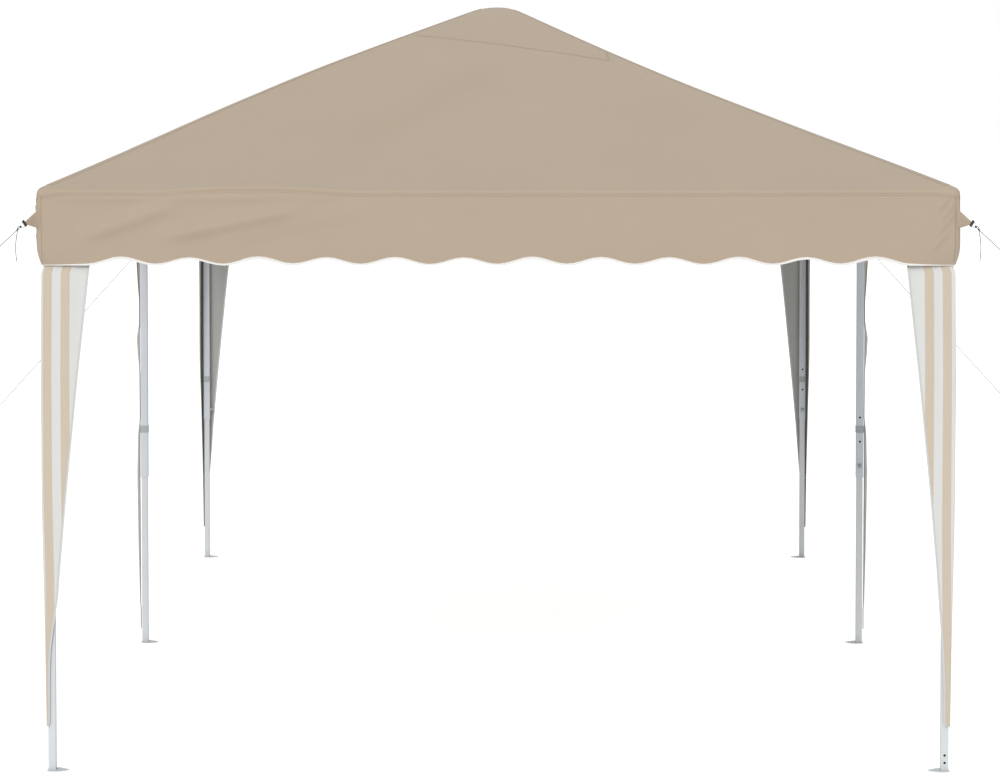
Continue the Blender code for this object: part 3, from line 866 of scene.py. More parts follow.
def rope_grower(strands: int = 3, sides: int = 12) -> Grower:
    """A rope of twisted strands swept along a line.

    Args:
        strands: how many strands are twisted together.
        sides: how many points the rope's section has.

    Returns:
        The tree, which takes the rope's radius, the length of one twist and its step.
    """
    grower = Grower("twisted rope", {"Radius": 1.5 * MM, "Twist": 12 * MM, "Step": 2 * MM})
    tree = grower.tree
    along = grower.add("GeometryNodeSplineParameter").outputs["Length"]
    angle = maths(tree, "MULTIPLY", maths(tree, "DIVIDE", along, grower.given["Twist"]), 2 * math.pi)
    twisted = grower.add("GeometryNodeSetCurveTilt", {"Curve": grower.spaced("Step"), "Tilt": angle})
    sizes = {"Resolution": sides, "Radius": grower.given["Radius"]}
    ring = grower.add("GeometryNodeCurvePrimitiveCircle", sizes).outputs["Curve"]
    share = grower.add("GeometryNodeSplineParameter").outputs["Factor"]
    wave = maths(tree, "COSINE", maths(tree, "MULTIPLY", share, 2 * math.pi * strands))
    swell = maths(tree, "MULTIPLY_ADD", wave, 0.16, 0.84)
    place = grower.add("GeometryNodeInputPosition").outputs["Position"]
    scaled = grower.add("ShaderNodeVectorMath", {0: place, "Scale": swell}, operation="SCALE")
    moved = {"Geometry": ring, "Position": scaled.outputs["Vector"]}
    lobed = grower.add("GeometryNodeSetPosition", moved)
    grower.end(grower.swept(twisted.outputs["Curve"], lobed.outputs["Geometry"]))
    return grower


def rivet_grower() -> Grower:
    """Domed rivet heads on points, each facing the way that its point says."""
    grower = Grower("rivet heads", {"Radius": 4.5 * MM, "Dome": 2.2 * MM})
    head = grower.add("GeometryNodeMeshUVSphere", {"Segments": 12, "Rings": 8, "Radius": 1.0})
    facing = grower.add("GeometryNodeInputNamedAttribute", {"Name": "facing"}, data_type="FLOAT_VECTOR")
    sizes = {"X": grower.given["Radius"], "Y": grower.given["Radius"], "Z": grower.given["Dome"]}
    scale = grower.add("ShaderNodeCombineXYZ", sizes).outputs["Vector"]
    points = grower.add("GeometryNodeMeshToPoints", {"Mesh": grower.given["Geometry"]}).outputs["Points"]
    grower.end(grower.copies(points, head.outputs["Mesh"], facing.outputs["Attribute"], Scale=scale))
    return grower


# Canopy


@dataclass(frozen=True)
class Fold:
    """A soft fold that stands off the cloth along a line.

    Points on the cloth are given by how far along the side they are and how far up it.
    """

    start: tuple[float, float]
    end: tuple[float, float]
    height: float
    width: float
    fade: float = 0.25

    def lift(self, along: np.ndarray, up: np.ndarray) -> np.ndarray:
        """How far the fold stands off the cloth.

        Args:
            along: how far along the side each point is.
            up: how far up the side each point is.

        Returns:
            The height at each point, in metres.
        """
        run = np.array(self.end) - np.array(self.start)
        length = np.hypot(*run)
        from_start = np.stack([along - self.start[0], up - self.start[1]])
        share = (from_start[0] * run[0] + from_start[1] * run[1]) / length**2
        aside = (from_start[0] * run[1] - from_start[1] * run[0]) / length
        ends = eased(share / self.fade) * eased((1 - share) / self.fade)
        return self.height * np.exp(-((aside / self.width) ** 2)) * ends


def eased(share: np.ndarray | float) -> np.ndarray | float:
    """A share held between 0 and 1 and eased at both ends."""
    held = np.clip(share, 0.0, 1.0)
    return held * held * (3 - 2 * held)


def wrinkles(along: np.ndarray, up: np.ndarray, size: float, seed: int) -> np.ndarray:
    """Low, soft, irregular waves in a cloth.

    Args:
        along: how far along the cloth each point is.
        up: how far up the cloth each point is.
        size: the length of a wave, in metres.
        seed: picks the waves.

    Returns:
        Values of about -1 to 1.
    """
    picked = np.random.default_rng(seed)
    total = np.zeros(np.broadcast(along, up).shape)
    waves = 7
    for _ in range(waves):
        heading = picked.uniform(0, math.pi)
        turns = 2 * math.pi / (size * picked.uniform(0.7, 1.5))
        phase = picked.uniform(0, 2 * math.pi)
        total += np.sin(turns * (along * math.cos(heading) + up * math.sin(heading)) + phase)
    return total / math.sqrt(waves)


@dataclass
class Columns:
    """The columns of points round the canopy, from the front left corner round to it again."""

    side: np.ndarray
    share: np.ndarray
    bend: np.ndarray
    rise: np.ndarray
    goes_up: np.ndarray
    to_corner: np.ndarray

    def __len__(self) -> int:
        """How many columns there are."""
        return len(self.side)


@dataclass
class Canopy:
    """The roof and valance, sewn as one cloth, with their tapes, seams and stitches."""

    palette: Palette
    half_width: float = 1.500
    half_length: float = 3.000
    corner_radius: float = 0.025
    cloth: float = 1.0 * MM
    eave: float = 1.900
    corner_lift: float = 4 * MM
    climb: float = 0.662
    peak: float = 2.5425
    ridge_sag: float = 0.020
    peak_rounding: float = 0.008
    peak_aside: float = -0.010
    left_hip_lift: float = 0.022
    left_slope_lift: float = 0.015
    right_hip_sag: float = 0.021
    right_slope_sag: float = 0.008
    hem: float = 1.657
    scallop: float = 0.2225
    scallops: int = 12
    scallop_rise: float = 0.020
    scallop_steps: int = 10
    end_steps: int = 44
    valance_rows: int = 30
    roof_rings: int = 34
    roof_step: int = 4
    front_rounding: float = 0.009
    side_rounding: float = 0.026
    pinch_start: float = 1.725
    hem_pinch: float = 0.004
    corner_pinch: float = 0.011
    tape_height: float = 10.5 * MM
    tape_thickness: float = 2.2 * MM
    patch_inset: float = 1.105
    patch_skew: float = 0.20
    valance_folds: tuple[Fold, ...] = (
        Fold((-1.395, 1.733), (-1.015, 1.868), 15 * MM, 0.026, fade=0.3),
        Fold((-1.160, 1.737), (-0.560, 1.858), 19 * MM, 0.026, fade=0.3),
        Fold((-0.96, 1.728), (-0.36, 1.860), 6 * MM, 0.030),
        Fold((-1.470, 1.874), (-0.500, 1.876), 5 * MM, 0.012, fade=0.12),
        Fold((1.424, 1.833), (1.464, 1.884), 5.5 * MM, 0.0065),
        Fold((1.431, 1.801), (1.481, 1.861), 5.5 * MM, 0.0065),
        Fold((1.425, 1.760), (1.476, 1.824), 5.5 * MM, 0.0065),
        Fold((1.404, 1.704), (1.462, 1.769), 5.5 * MM, 0.0070),
    )
    eave_swell: Fold = Fold((-1.12, 0.0), (-0.46, 0.0), 14 * MM, 0.030, fade=0.4)
    roof_folds: tuple[Fold, ...] = (
        Fold((0.19, 1.13), (-0.56, 0.13), -16 * MM, 0.075, fade=0.3),
        Fold((-0.62, 0.62), (-0.95, 0.10), 4 * MM, 0.070, fade=0.4),
        Fold((0.75, 0.55), (1.10, 0.12), 4 * MM, 0.080, fade=0.4),
    )
    bends: tuple[float, ...] = (-45.0, -30.0, -15.0, 0.0, 15.0, 30.0, 45.0)

    # Where the columns stand

    def marks(self, bays: int) -> tuple[np.ndarray, np.ndarray]:
        """Points along one side, between its rounded corners.

        Args:
            bays: how many 3 m bays the side has.

        Returns:
            Each point's distance from the side's middle, and the hem's rise there.
        """
        half = self.half_width * bays
        scalloped = self.scallop * self.scallops
        plain = self.half_width - scalloped / 2
        steps = self.scallops * self.scallop_steps
        end_steps = self.end_steps // bays
        places, rises = [], []
        for bay in range(bays):
            start = -half + 2 * self.half_width * bay
            first = self.corner_radius if bay == 0 else 0.0
            last = self.corner_radius if bay == bays - 1 else 0.0
            places.append(np.linspace(start + first, start + plain, end_steps, endpoint=False))
            places.append(start + plain + scalloped * np.arange(steps) / steps)
            after = start + plain + scalloped
            places.append(np.linspace(after, after + plain - last, end_steps, endpoint=False))
            turns = 2 * math.pi * np.arange(steps) / self.scallop_steps
            wave = self.scallop_rise * (1 - np.cos(turns)) / 2
            rises += [np.zeros(end_steps), wave, np.zeros(end_steps)]
        return np.concatenate(places)[1:], np.concatenate(rises)[1:]

    def columns(self) -> Columns:
        """Lay out every column round the canopy."""
        laid: list[tuple] = []
        for side in range(4):
            bays = 1 + side % 2
            half = self.half_width * bays
            turn = Matrix.Rotation(side * math.pi / 2, 2)
            places, rises = self.marks(bays)
            middle = len(places) // 2
            for number, (place, rise) in enumerate(zip(places, rises)):
                share = turn @ Vector((place / half, -1.0))
                goes_up = (number - middle) % self.roof_step == 0
                laid.append((side, share, (0.0, 0.0), rise, goes_up, half - abs(place)))
            corner = turn @ Vector((1.0, -1.0))
            facing = math.atan2(corner.y, corner.x)
            for bend in self.bends:
                angle = facing + math.radians(bend)
                out = Vector((math.cos(angle), math.sin(angle))) - corner
                laid.append((side if bend < 0 else (side + 1) % 4, corner, out, 0.0, True, 0.0))
        return Columns(*(np.array(values) for values in zip(*laid)))

    # The shape of the cloth

    def sideways(self, points: np.ndarray, side: np.ndarray) -> np.ndarray:
        """How far along its side each point is, to the right as seen from outside."""
        x, y = points[:, 0], points[:, 1]
        return np.choose(side, [x, y, -x, -y])

    def lift(self, points: np.ndarray, climb: np.ndarray, ahead: np.ndarray) -> np.ndarray:
        """How far the roof stands off its straight slopes.

        Args:
            points: the places in plan.
            climb: the share of the way from the eave to the ridge.
            ahead: how far each point is from the nearer hip, along the long side.

        Returns:
            The lift at each point, in metres.
        """
        left_hip = self.left_hip_lift * np.sin(math.pi * climb**1.1) ** 1.5
        right_hip = -self.right_hip_sag * np.abs(np.sin(math.pi * climb**1.3)) ** 1.2
        behind = eased(ahead / 0.35) * (1 - 0.4 * eased(ahead / 2.2))
        swell = np.sin(math.pi * np.clip(climb, 0, 1))
        left = left_hip + behind * self.left_slope_lift * swell
        right = right_hip - behind * self.right_slope_sag * swell
        half = np.maximum(self.half_width * (1 - climb), 1e-6)
        across = np.clip(points[:, 0] / half, -1, 1)
        corner = self.corner_lift * (1 - climb) ** 2 * np.abs(across) ** 4 * (1 - eased(ahead / 0.4))
        return left * (1 - across) / 2 + right * (1 + across) / 2 + corner

    def roof_height(self, points: np.ndarray, inset: float | np.ndarray, folded: bool = True) -> np.ndarray:
        """The height of the cloth's outer face at an inset from the eave.

        Args:
            points: the places in plan, before the peak is drawn aside.
            inset: how far in from the eave they are.
            folded: whether to add the folds.

        Returns:
            Heights in metres.
        """
        climb = np.clip(np.broadcast_to(inset, len(points)) / self.half_width, 0, 1)
        ahead = np.maximum(self.half_length - inset - np.abs(points[:, 1]), 0)
        peak_y = self.half_length - self.half_width
        top = self.peak - self.ridge_sag * (1 - np.clip(np.abs(points[:, 1]) / peak_y, 0, 1) ** 2)
        height = self.eave + self.climb * climb + self.lift(points, climb, ahead)
        if folded:
            height = height + self.roof_waves(points, inset, climb, ahead)
        soft = self.peak_rounding
        return -soft * np.log(np.exp(-(height - top) / soft) + 1) + top

    def roof_waves(
        self, points: np.ndarray, inset: float | np.ndarray, climb: np.ndarray, ahead: np.ndarray
    ) -> np.ndarray:
        """The folds of the two end slopes and the low waves of every slope."""
        on_end = 1 - eased(ahead / 0.02)
        mirrored = np.where(points[:, 1] < 0, points[:, 0], -points[:, 0])
        folds = sum(fold.lift(mirrored, np.broadcast_to(inset, len(points))) for fold in self.roof_folds)
        calm = np.sin(math.pi * np.clip(climb, 0, 1)) ** 0.7
        low = 1.2 * MM * wrinkles(points[:, 0], points[:, 1], 0.7, 11)
        swell = self.eave_swell.lift(mirrored, np.broadcast_to(inset, len(points)))
        return on_end * (folds + swell * (1 - eased(inset / 0.10))) + calm * low

    def outline(self, columns: Columns, inset: float) -> np.ndarray:
        """The ring of places in plan at an inset from the eave, with rounded corners."""
        half = np.array([self.half_width - inset, self.half_length - inset])
        radius = self.corner_radius * max(self.half_width - inset, 0.0) / self.half_width
        return columns.share * half + columns.bend * radius

    def roof_ring(self, columns: Columns, inset: float) -> np.ndarray:
        """The ring of points on the roof at an inset from the eave."""
        plan = self.outline(columns, inset)
        height = self.roof_height(plan, inset)
        plan[:, 0] += self.peak_aside * inset / self.half_width
        return np.column_stack([plan, height])

    def eave_rounding(self, columns: Columns) -> np.ndarray:
        """How softly the cloth turns down at each column: tightly over the ends' bars."""
        tight, soft = self.front_rounding, self.side_rounding
        blend = 1 - eased(columns.to_corner / 0.10)
        return np.where(columns.side % 2 == 0, tight + (soft - tight) * blend, soft)

    def eave_ring(self, columns: Columns, share: float) -> np.ndarray:
        """A ring on the turn from the valance, at share 0, to the roof, at share 1."""
        slope = math.atan2(self.climb, self.half_width)
        angle = share * (math.pi / 2 - slope)
        radius = self.eave_rounding(columns)
        last = math.pi / 2 - slope
        inset = radius * (1 - math.cos(angle))
        ends = self.ring_by_column(columns, radius * (1 - math.cos(last)))
        base = ends[:, 2] - radius * math.sin(last)
        plan = self.ring_by_column(columns, inset)[:, :2]
        return np.column_stack([plan, base + radius * math.sin(angle)])

    def ring_by_column(self, columns: Columns, inset: np.ndarray) -> np.ndarray:
        """A ring whose inset differs from column to column."""
        half = np.stack([self.half_width - inset, self.half_length - inset], axis=1)
        radius = (self.corner_radius * (self.half_width - inset) / self.half_width)[:, None]
        plan = columns.share * half + columns.bend * radius
        return np.column_stack([plan, self.roof_height(plan, inset)])

    def valance_point(self, columns: Columns, share: float, off: float = 0.0) -> np.ndarray:
        """The ring of points on the valance.

        Args:
            columns: the canopy's columns.
            share: how far up from the hem to the eave, from 0 to 1.
            off: how far to stand off the cloth's outer face, in metres.

        Returns:
            Points in metres.
        """
        top = self.eave_ring(columns, 0.0)
        low = self.hem + columns.rise
        height = low + (top[:, 2] - low) * share
        along = self.sideways(top, columns.side)
        beyond = np.where(columns.side % 2 == 0, 0.0, self.half_length - self.half_width)
        out = np.zeros(len(columns))
        for fold in self.valance_folds:
            out += fold.lift(along + math.copysign(1.0, -fold.start[0]) * beyond, height)
        below = top[:, 2] - height
        out *= eased(columns.to_corner / 0.03) * eased(below / 0.015)
        slack = eased(below / 0.20)
        out += slack * 1.5 * MM * wrinkles(along + 7.3 * columns.side, height, 0.35, 5)
        out += slack * 1.2 * MM * np.sin(2 * math.pi * along / self.scallop) * eased(columns.to_corner / 0.2)
        stand = out - self.pinch(columns, height) + off
        plan = top[:, :2] + self.facing(columns) * stand[:, None]
        return np.column_stack([plan, height])

    def pinch(self, columns: Columns, height: np.ndarray) -> np.ndarray:
        """How far the valance has come inward at a height: it curls under near its hem."""
        fall = np.clip((self.pinch_start - height) / (self.pinch_start - self.hem), 0, 1)
        corner = np.exp(-((columns.to_corner / 0.09) ** 2))
        return (self.hem_pinch + self.corner_pinch * corner) * fall**2

    def facing(self, columns: Columns) -> np.ndarray:
        """The outward direction in plan at each column."""
        flat = np.array([[0, -1], [1, 0], [0, 1], [-1, 0]], float)[columns.side]
        arc = columns.bend + columns.share
        curved = np.any(columns.bend != 0, axis=1)
        return np.where(curved[:, None], arc, flat)

    # Making the meshes

    def sheet(self, columns: Columns) -> Object:
        """The whole canopy as one sheet: fine columns in the valance, fewer up the roof."""
        fine = [self.valance_point(columns, row / self.valance_rows) for row in range(self.valance_rows + 1)]
        roof = [self.eave_ring(columns, share) for share in (0.25, 0.5, 0.75, 1.0)]
        start = float(self.eave_rounding(columns).max()) + 4 * MM
        near_peak = self.half_width - np.array([0.07, 0.045, 0.025, 0.011, 0.004, 0.0])
        insets = np.concatenate([np.linspace(start, near_peak[0] - 0.03, self.roof_rings), near_peak])
        roof += [self.roof_ring(columns, inset) for inset in insets]
        count = len(columns)
        kept = np.flatnonzero(columns.goes_up)
        faces = grid(self.valance_rows + 1, count, looped=True)
        sides = [*columns.side] * self.valance_rows
        top = self.valance_rows * count
        base = top + count
        for number, place in enumerate(kept):
            after = (number + 1) % len(kept)
            steps = int((kept[after] - place) % count)
            run = [top + (place + step) % count for step in range(steps + 1)]
            split = (steps + 1) // 2
            for low, high in zip(run, run[1:]):
                faces.append((low, high, base + (number if run.index(low) < split else after)))
            faces.append((run[split], base + after, base + number))
            sides += [columns.side[place]] * (steps + 1)
        upper = grid(len(roof), len(kept), looped=True)
        faces += [tuple(base + corner for corner in face) for face in upper]
        sides += [*columns.side[kept]] * (len(roof) - 1)
        every = np.concatenate([*fine, *(ring[kept] for ring in roof)])
        made = mesh_of("canopy_cloth", every, faces, self.cloth_places(every, faces, sides))
        return cleaned(made, 0.05 * MM)

    def cloth_places(
        self, points: np.ndarray, faces: list[tuple[int, ...]], sides: list[int]
    ) -> np.ndarray:
        """Each face corner's place on the flat cloth, in metres: along its side and up it."""
        corner = np.concatenate([np.array(face) for face in faces])
        side = np.repeat(np.array(sides), [len(face) for face in faces])
        placed = points[corner]
        along = self.sideways(placed, side)
        outward = np.choose(side, [-placed[:, 1], placed[:, 0], placed[:, 1], -placed[:, 0]])
        edge = np.where(side % 2 == 0, self.half_length, self.half_width)
        up = placed[:, 2] + (edge - outward) * 0.9
        return np.column_stack([along, up])

    def build(self) -> list[Object]:
        """Make the canopy with its tapes, seams and stitches."""
        columns = self.columns()
        cloth = thickened(self.sheet(columns), self.cloth)
        smooth(cloth, math.radians(50))
        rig.replaces(cloth, "canopy")
        dressed(cloth, self.palette["canopy"], Slot.CANOPY)
        slope = math.hypot(self.climb, self.half_width)
        width = 2 * (slope + self.eave - self.hem)
        length = width + 2 * (self.half_length - self.half_width)
        pieces = [self.hem_tape(columns), self.hem_stitches(columns), self.seam_stitches(columns)]
        pieces += [*self.hip_seams(columns), self.corner_stitches(columns), self.patch_stitches()]
        roof = 4 * self.half_length * slope
        skirt = 4 * (self.half_width + self.half_length) * (self.eave - self.hem - self.scallop_rise / 2)
        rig.sheet(cloth, flat=(width, length), held="stretched", area=roof + skirt, with_pieces=pieces)
        return [cloth, *pieces]

    def hem_tape(self, columns: Columns) -> Object:
        """The off-white tape folded over the scalloped hem."""
        line = self.valance_point(columns, 0.0, -self.cloth / 2)
        line[:, 2] += self.tape_height / 2 - 1.0 * MM
        tape = TAPES.run(
            "hem_binding",
            line_of("hem line", line, closed=True),
            self.palette["tape"],
            Height=self.tape_height,
            Thickness=self.tape_thickness,
            Rounding=0.7 * MM,
        )
        return dressed(tape, self.palette["tape"], Slot.CANOPY)

    def hem_stitches(self, columns: Columns) -> Object:
        """The row of stitches that holds the tape, near its upper edge."""
        off = self.tape_thickness / 2 - self.cloth / 2 + 0.1 * MM
        line = self.valance_point(columns, 0.0, off)
        line[:, 2] += self.tape_height - 3.0 * MM
        row = line_of("stitch line", line, closed=True)
        made = STITCHES.run("hem_stitches", row, self.palette["pale thread"])
        return dressed(made, self.palette["pale thread"], Slot.CANOPY)

    def seam_stitches(self, columns: Columns) -> Object:
        """Two rows of stitches under the eave, where the valance is sewn to the roof."""
        rows = [self.valance_point(columns, share, 0.15 * MM) for share in (0.945, 0.975)]
        return self.sewn("eave_stitches", rows, closed=True)

    def corner_stitches(self, columns: Columns) -> Object:
        """The seam down each corner of the valance, on the end's side of the corner, in thicker thread whose dark line
        is partly painted shade.
        """
        levels = [self.valance_point(columns, share, 0.2 * MM) for share in np.linspace(0.06, 0.97, 24)]
        rows = []
        for side in range(4):
            place = self.corner_start(columns, side) + (1 if side % 2 == 0 else len(self.bends) - 2)
            rows.append(np.array([level[place] for level in levels]))
        # The thread is thicker here so that its dark line also stands for the shadow in the seam's fold. These are real
        # stitches with painted shade.
        return self.sewn("corner_stitches", rows, Thread=0.7 * MM)

    def patch_stitches(self) -> Object:
        """The stitches round the strengthening patch that is sewn under each peak."""
        rows = []
        for end in (-1, 1):
            for inset in (self.patch_inset, self.patch_inset + 6 * MM):
                rows.append(self.patch_line(end, inset))
        return self.sewn("peak_patch_stitches", rows, closed=True)

    def patch_line(self, end: int, inset: float, steps: int = 24) -> np.ndarray:
        """The edge of a peak's patch: a square round the peak with its edges drawn in a little.

        Args:
            end: -1 for the front peak, 1 for the rear one.
            inset: how far in from the eave the patch reaches.
            steps: points along each edge.

        Returns:
            A closed ring of points on the roof.
        """
        reach = self.half_width - inset
        centre = end * (self.half_length - self.half_width)
        ring = []
        for side in range(4):
            turn = Matrix.Rotation(side * math.pi / 2, 2)
            for step in range(steps):
                share = 2 * step / steps - 1
                drawn = 0.93 + 0.07 * share * share
                place = turn @ Vector((reach * share, -reach * drawn))
                skewed = place.y - self.patch_skew * place.x
                ring.append((-end * place.x, centre - end * skewed))
        plan = np.array(ring)
        return self.on_roof(plan, 0.2 * MM)

    def on_roof(self, plan: np.ndarray, off: float) -> np.ndarray:
        """Points on the roof's outer face above places in plan, standing off it a little."""
        inset = np.minimum(self.half_width - np.abs(plan[:, 0]), self.half_length - np.abs(plan[:, 1]))
        height = self.roof_height(plan, inset) + off
        shifted = plan.copy()
        shifted[:, 0] += self.peak_aside * inset / self.half_width
        return np.column_stack([shifted, height])

    def hip_seams(self, columns: Columns) -> list[Object]:
        """The felled seam up each hip, and its two rows of stitches."""
        insets = np.linspace(0.03, self.half_width - 0.06, 60)
        rings = [self.roof_ring(columns, inset) for inset in insets]
        wide = len(self.bends)
        faces = grid(len(insets), wide)
        corners = np.array(faces).ravel()
        places = np.column_stack([np.tile(np.arange(wide) * 2 * MM, len(insets)), np.repeat(insets, wide)])
        seams, rows = [], []
        for side in range(4):
            corner = np.arange(wide) + self.corner_start(columns, side)
            strip = np.array([ring[corner] for ring in rings])
            strip[..., 2] += 0.1 * MM
            sheet = mesh_of(f"hip seam {side}", strip.reshape(-1, 3), faces, places[corners])
            seams.append(thickened(sheet, 0.8 * MM, offset=1.0))
            rows += [strip[:, edge] + np.array([0, 0, 0.9 * MM]) for edge in (1, wide - 2)]
        seam = smooth(joined("hip_seams", seams))
        return [dressed(seam, self.palette["canopy"], Slot.CANOPY), self.sewn("hip_stitches", rows)]

    def corner_start(self, columns: Columns, side: int) -> int:
        """The number of the first column of the corner after a side."""
        lengths = [len(self.marks(1 + number % 2)[0]) + len(self.bends) for number in range(side + 1)]
        return sum(lengths) - len(self.bends)

    def sewn(self, name: str, rows: list[np.ndarray], closed: bool = False, **sizes: float) -> Object:
        """Rows of taupe stitches as one piece.

        Args:
            name: the piece's name.
            rows: the lines to sew along.
            closed: whether each line runs back to its start.
            **sizes: the stitches' own sizes, where they differ from the usual ones.

        Returns:
            The stitches.
        """
        lines = [line_of(f"{name} line {number}", row, closed) for number, row in enumerate(rows)]
        made = STITCHES.run(name, joined(f"{name} lines", lines), self.palette["thread"], **sizes)
        return dressed(made, self.palette["thread"], Slot.CANOPY)


# Corner ears, guy ropes and pegs


@dataclass
class Guy:
    """A corner's guy: the cloth ear, its webbing keeper and ring, the rope and the peg."""

    palette: Palette
    end: Row
    side: Side
    half_width: float = 1.500
    half_length: float = 3.000
    corner_radius: float = 0.025
    ear_reach: float = 0.050
    ear_tip_height: float = 1.796
    rope_radius: float = 1.5 * MM
    rope_bottom: float = 0.045
    rope_fall: float = 1.02
    keeper_length: float = 22 * MM
    keeper_width: float = 9.5 * MM
    keeper_thickness: float = 5 * MM
    ring_radius: float = 8 * MM
    ring_wire: float = 1.1 * MM
    tail_length: float = 0.100
    peg_radius: float = 3.5 * MM
    peg_height: float = 0.070
    peg_lean: float = math.radians(14)
    peg_hook: float = 14 * MM
    peg_clearance: float = 3 * MM

    def __post_init__(self) -> None:
        """Work out where the ear's tip, the rope and the peg are."""
        self.out = Vector((self.side.value, self.end.value, 0)).normalized()
        self.across = Vector((-self.out.y, self.out.x, 0))
        cut = self.corner_radius * (1 - math.sqrt(0.5))
        self.corner = Vector(
            (self.side.value * (self.half_width - cut), self.end.value * (self.half_length - cut), 0)
        )
        self.start = self.corner + self.out * (self.ear_reach + self.rope_radius)
        self.start.z = self.ear_tip_height
        run = (self.ear_tip_height - self.rope_bottom) / self.rope_fall * math.sqrt(2)
        self.stop = self.start + self.out * run
        self.stop.z = self.rope_bottom
        self.pull = (self.stop - self.start).normalized()
        self.high = self.pull.cross(self.across).normalized()
        self.lean = self.out * math.sin(self.peg_lean) + Vector((0, 0, math.cos(self.peg_lean)))
        self.label = f"{self.end}_{self.side}"

    def build(self) -> list[Object]:
        """Make the ear, the keeper, the ring, the rope and the peg."""
        return [self.ear(), self.keeper(), self.ring(), self.rope(), self.peg()]

    def ear(self) -> Object:
        """The gathered triangle of cloth: wide where it is sewn in, thin at its tip."""
        rings = []
        steps, around = 16, 28
        for step in range(steps + 1):
            share = step / steps
            reach = -0.010 + (self.ear_reach + 0.010) * share
            spread = eased(1 - share / 0.30)
            half_thick = 1.6 * MM + 10 * MM * (1 - share) ** 5
            top = self.ear_tip_height + 6 * MM + (1 - share) * 0.043 + 0.012 * spread
            bottom = self.ear_tip_height - 6 * MM - (1 - share) * 0.016 - 0.012 * spread
            middle, half_high = (top + bottom) / 2, (top - bottom) / 2
            ring = []
            for turn in range(around):
                angle = 2 * math.pi * turn / around
                crease = 0.5 * MM * math.sin(5 * angle) * share * (1 - share) * 4
                thick = (half_thick + crease) * math.cos(angle)
                place = self.corner + self.out * reach + self.across * thick
                ring.append((place.x, place.y, middle + half_high * math.sin(angle)))
            rings.append(ring)
        made = lofted(f"corner_ear_{self.label}", rings)
        unwrap_flat(made, self.out)
        return dressed(smooth(made, math.radians(60)), self.palette["canopy"], Slot.CANOPY)

    def keeper(self) -> Object:
        """The black webbing loop sewn to the ear's tip, square to the rope's pull."""
        centre = self.start + self.pull * (self.keeper_width / 2 - 1 * MM)
        length, width, thick = self.keeper_length / 2, self.keeper_width / 2, self.keeper_thickness / 2
        rings = []
        steps = 10
        for step in range(steps + 1):
            share = 2 * step / steps - 1
            waist = 1 - 0.10 * (1 - share * share)
            ring = []
            for turn in range(16):
                angle = 2 * math.pi * turn / 16
                flat = math.copysign(abs(math.cos(angle)) ** 0.45, math.cos(angle))
                deep = math.copysign(abs(math.sin(angle)) ** 0.45, math.sin(angle))
                place = centre + self.high * (length * share) + self.pull * (width * flat)
                ring.append(place + self.across * (thick * waist * deep))
            rings.append(ring)
        made = lofted(f"webbing_keeper_{self.label}", rings)
        unwrap_flat(made, self.pull)
        return dressed(smooth(made), self.palette["webbing"], Slot.PLASTIC)

    def ring(self) -> Object:
        """The small steel ring through the keeper."""
        centre = self.start + self.pull * (self.keeper_width + self.ring_radius - 3 * MM)
        angles = [2 * math.pi * turn / 28 for turn in range(28)]
        points = [around(centre, self.pull, self.high, self.ring_radius, angle) for angle in angles]
        made = tube(f"guy_ring_{self.label}", points, self.ring_wire, closed=True)
        return dressed(made, self.palette["zinc"], Slot.ZINC)

    def coil(self, centre: Vector, axis: Vector, turns: float, radius: float, pitch: float) -> list[Vector]:
        """Points of a few turns of rope round an axis, as in a knot."""
        side = axis.cross(self.across).normalized()
        other = axis.cross(side).normalized()
        points = []
        for step in range(int(turns * 12) + 1):
            angle = 2 * math.pi * step / 12
            swell = radius * (1 + 0.12 * math.sin(2.3 * angle))
            along = axis * (pitch * (step / 12 - turns / 2))
            points.append(around(centre + along, side, other, swell, angle))
        return points

    def rope(self) -> Object:
        """The rope from its knot on the ring to its turns round the peg, with its slack tail."""
        begin = self.start + self.pull * (self.keeper_width + 2 * self.ring_radius - 3 * MM)
        loop_end = begin + self.pull * 16 * MM
        high = -self.high if self.high.z < 0 else self.high
        hitch = self.stop - self.pull * 0.030
        middle = (begin + loop_end) / 2
        loop, tail = [], []
        for step in range(15):
            angle = math.pi * (1 - step / 14)
            loop.append(middle + self.pull * (8 * MM * math.cos(angle)) + high * (6 * MM * math.sin(angle)))
        for step in range(13):
            share = step / 12
            sway = 0.006 * math.sin(math.pi * share) + 0.004 * share
            tail.append(loop_end + self.out * sway - Vector((0, 0, self.tail_length * share + 2 * MM)))
        lines = [
            [loop_end - self.pull * 2 * MM, hitch, self.stop - self.pull * 2 * MM],
            loop,
            [begin - self.pull * 1 * MM, loop_end],
            tail,
            self.coil(begin, self.pull, 2.5, 2.3 * MM, 2.6 * MM),
            self.coil(loop_end, self.pull, 2.5, 2.0 * MM, 2.6 * MM),
            self.coil(hitch, self.pull, 3.5, 2.1 * MM, 2.7 * MM),
            self.turns_round_peg(),
        ]
        drawn = [line_of(f"line {number}", line) for number, line in enumerate(lines)]
        path = joined(f"rope lines {self.label}", drawn)
        made = ROPES.run(
            f"rope_{self.label}", path, self.palette["rope"], Radius=self.rope_radius, Step=2.5 * MM
        )
        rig.replaces(made, f"guy_rope_{self.label}")
        return dressed(smooth(made, math.radians(80)), self.palette["rope"], Slot.ROPE)

    def peg_foot(self) -> Vector:
        """Where the peg's axis meets the ground."""
        slope = self.rope_bottom * math.tan(self.peg_lean)
        foot = self.stop + self.out * (self.peg_radius / math.cos(self.peg_lean) + self.peg_clearance - slope)
        foot.z = 0.0
        return foot

    def turns_round_peg(self) -> list[Vector]:
        """The rope's turns round the peg, under its hook."""
        centre = self.peg_foot() + self.lean * (self.rope_bottom / math.cos(self.peg_lean))
        other = self.lean.cross(self.across).normalized()
        radius = self.peg_radius + self.rope_radius
        points = []
        for step in range(31):
            rise = self.lean * (3.0 * MM * (step / 12 - 1.25))
            points.append(around(centre + rise, self.across, other, radius, 2 * math.pi * step / 12))
        return points

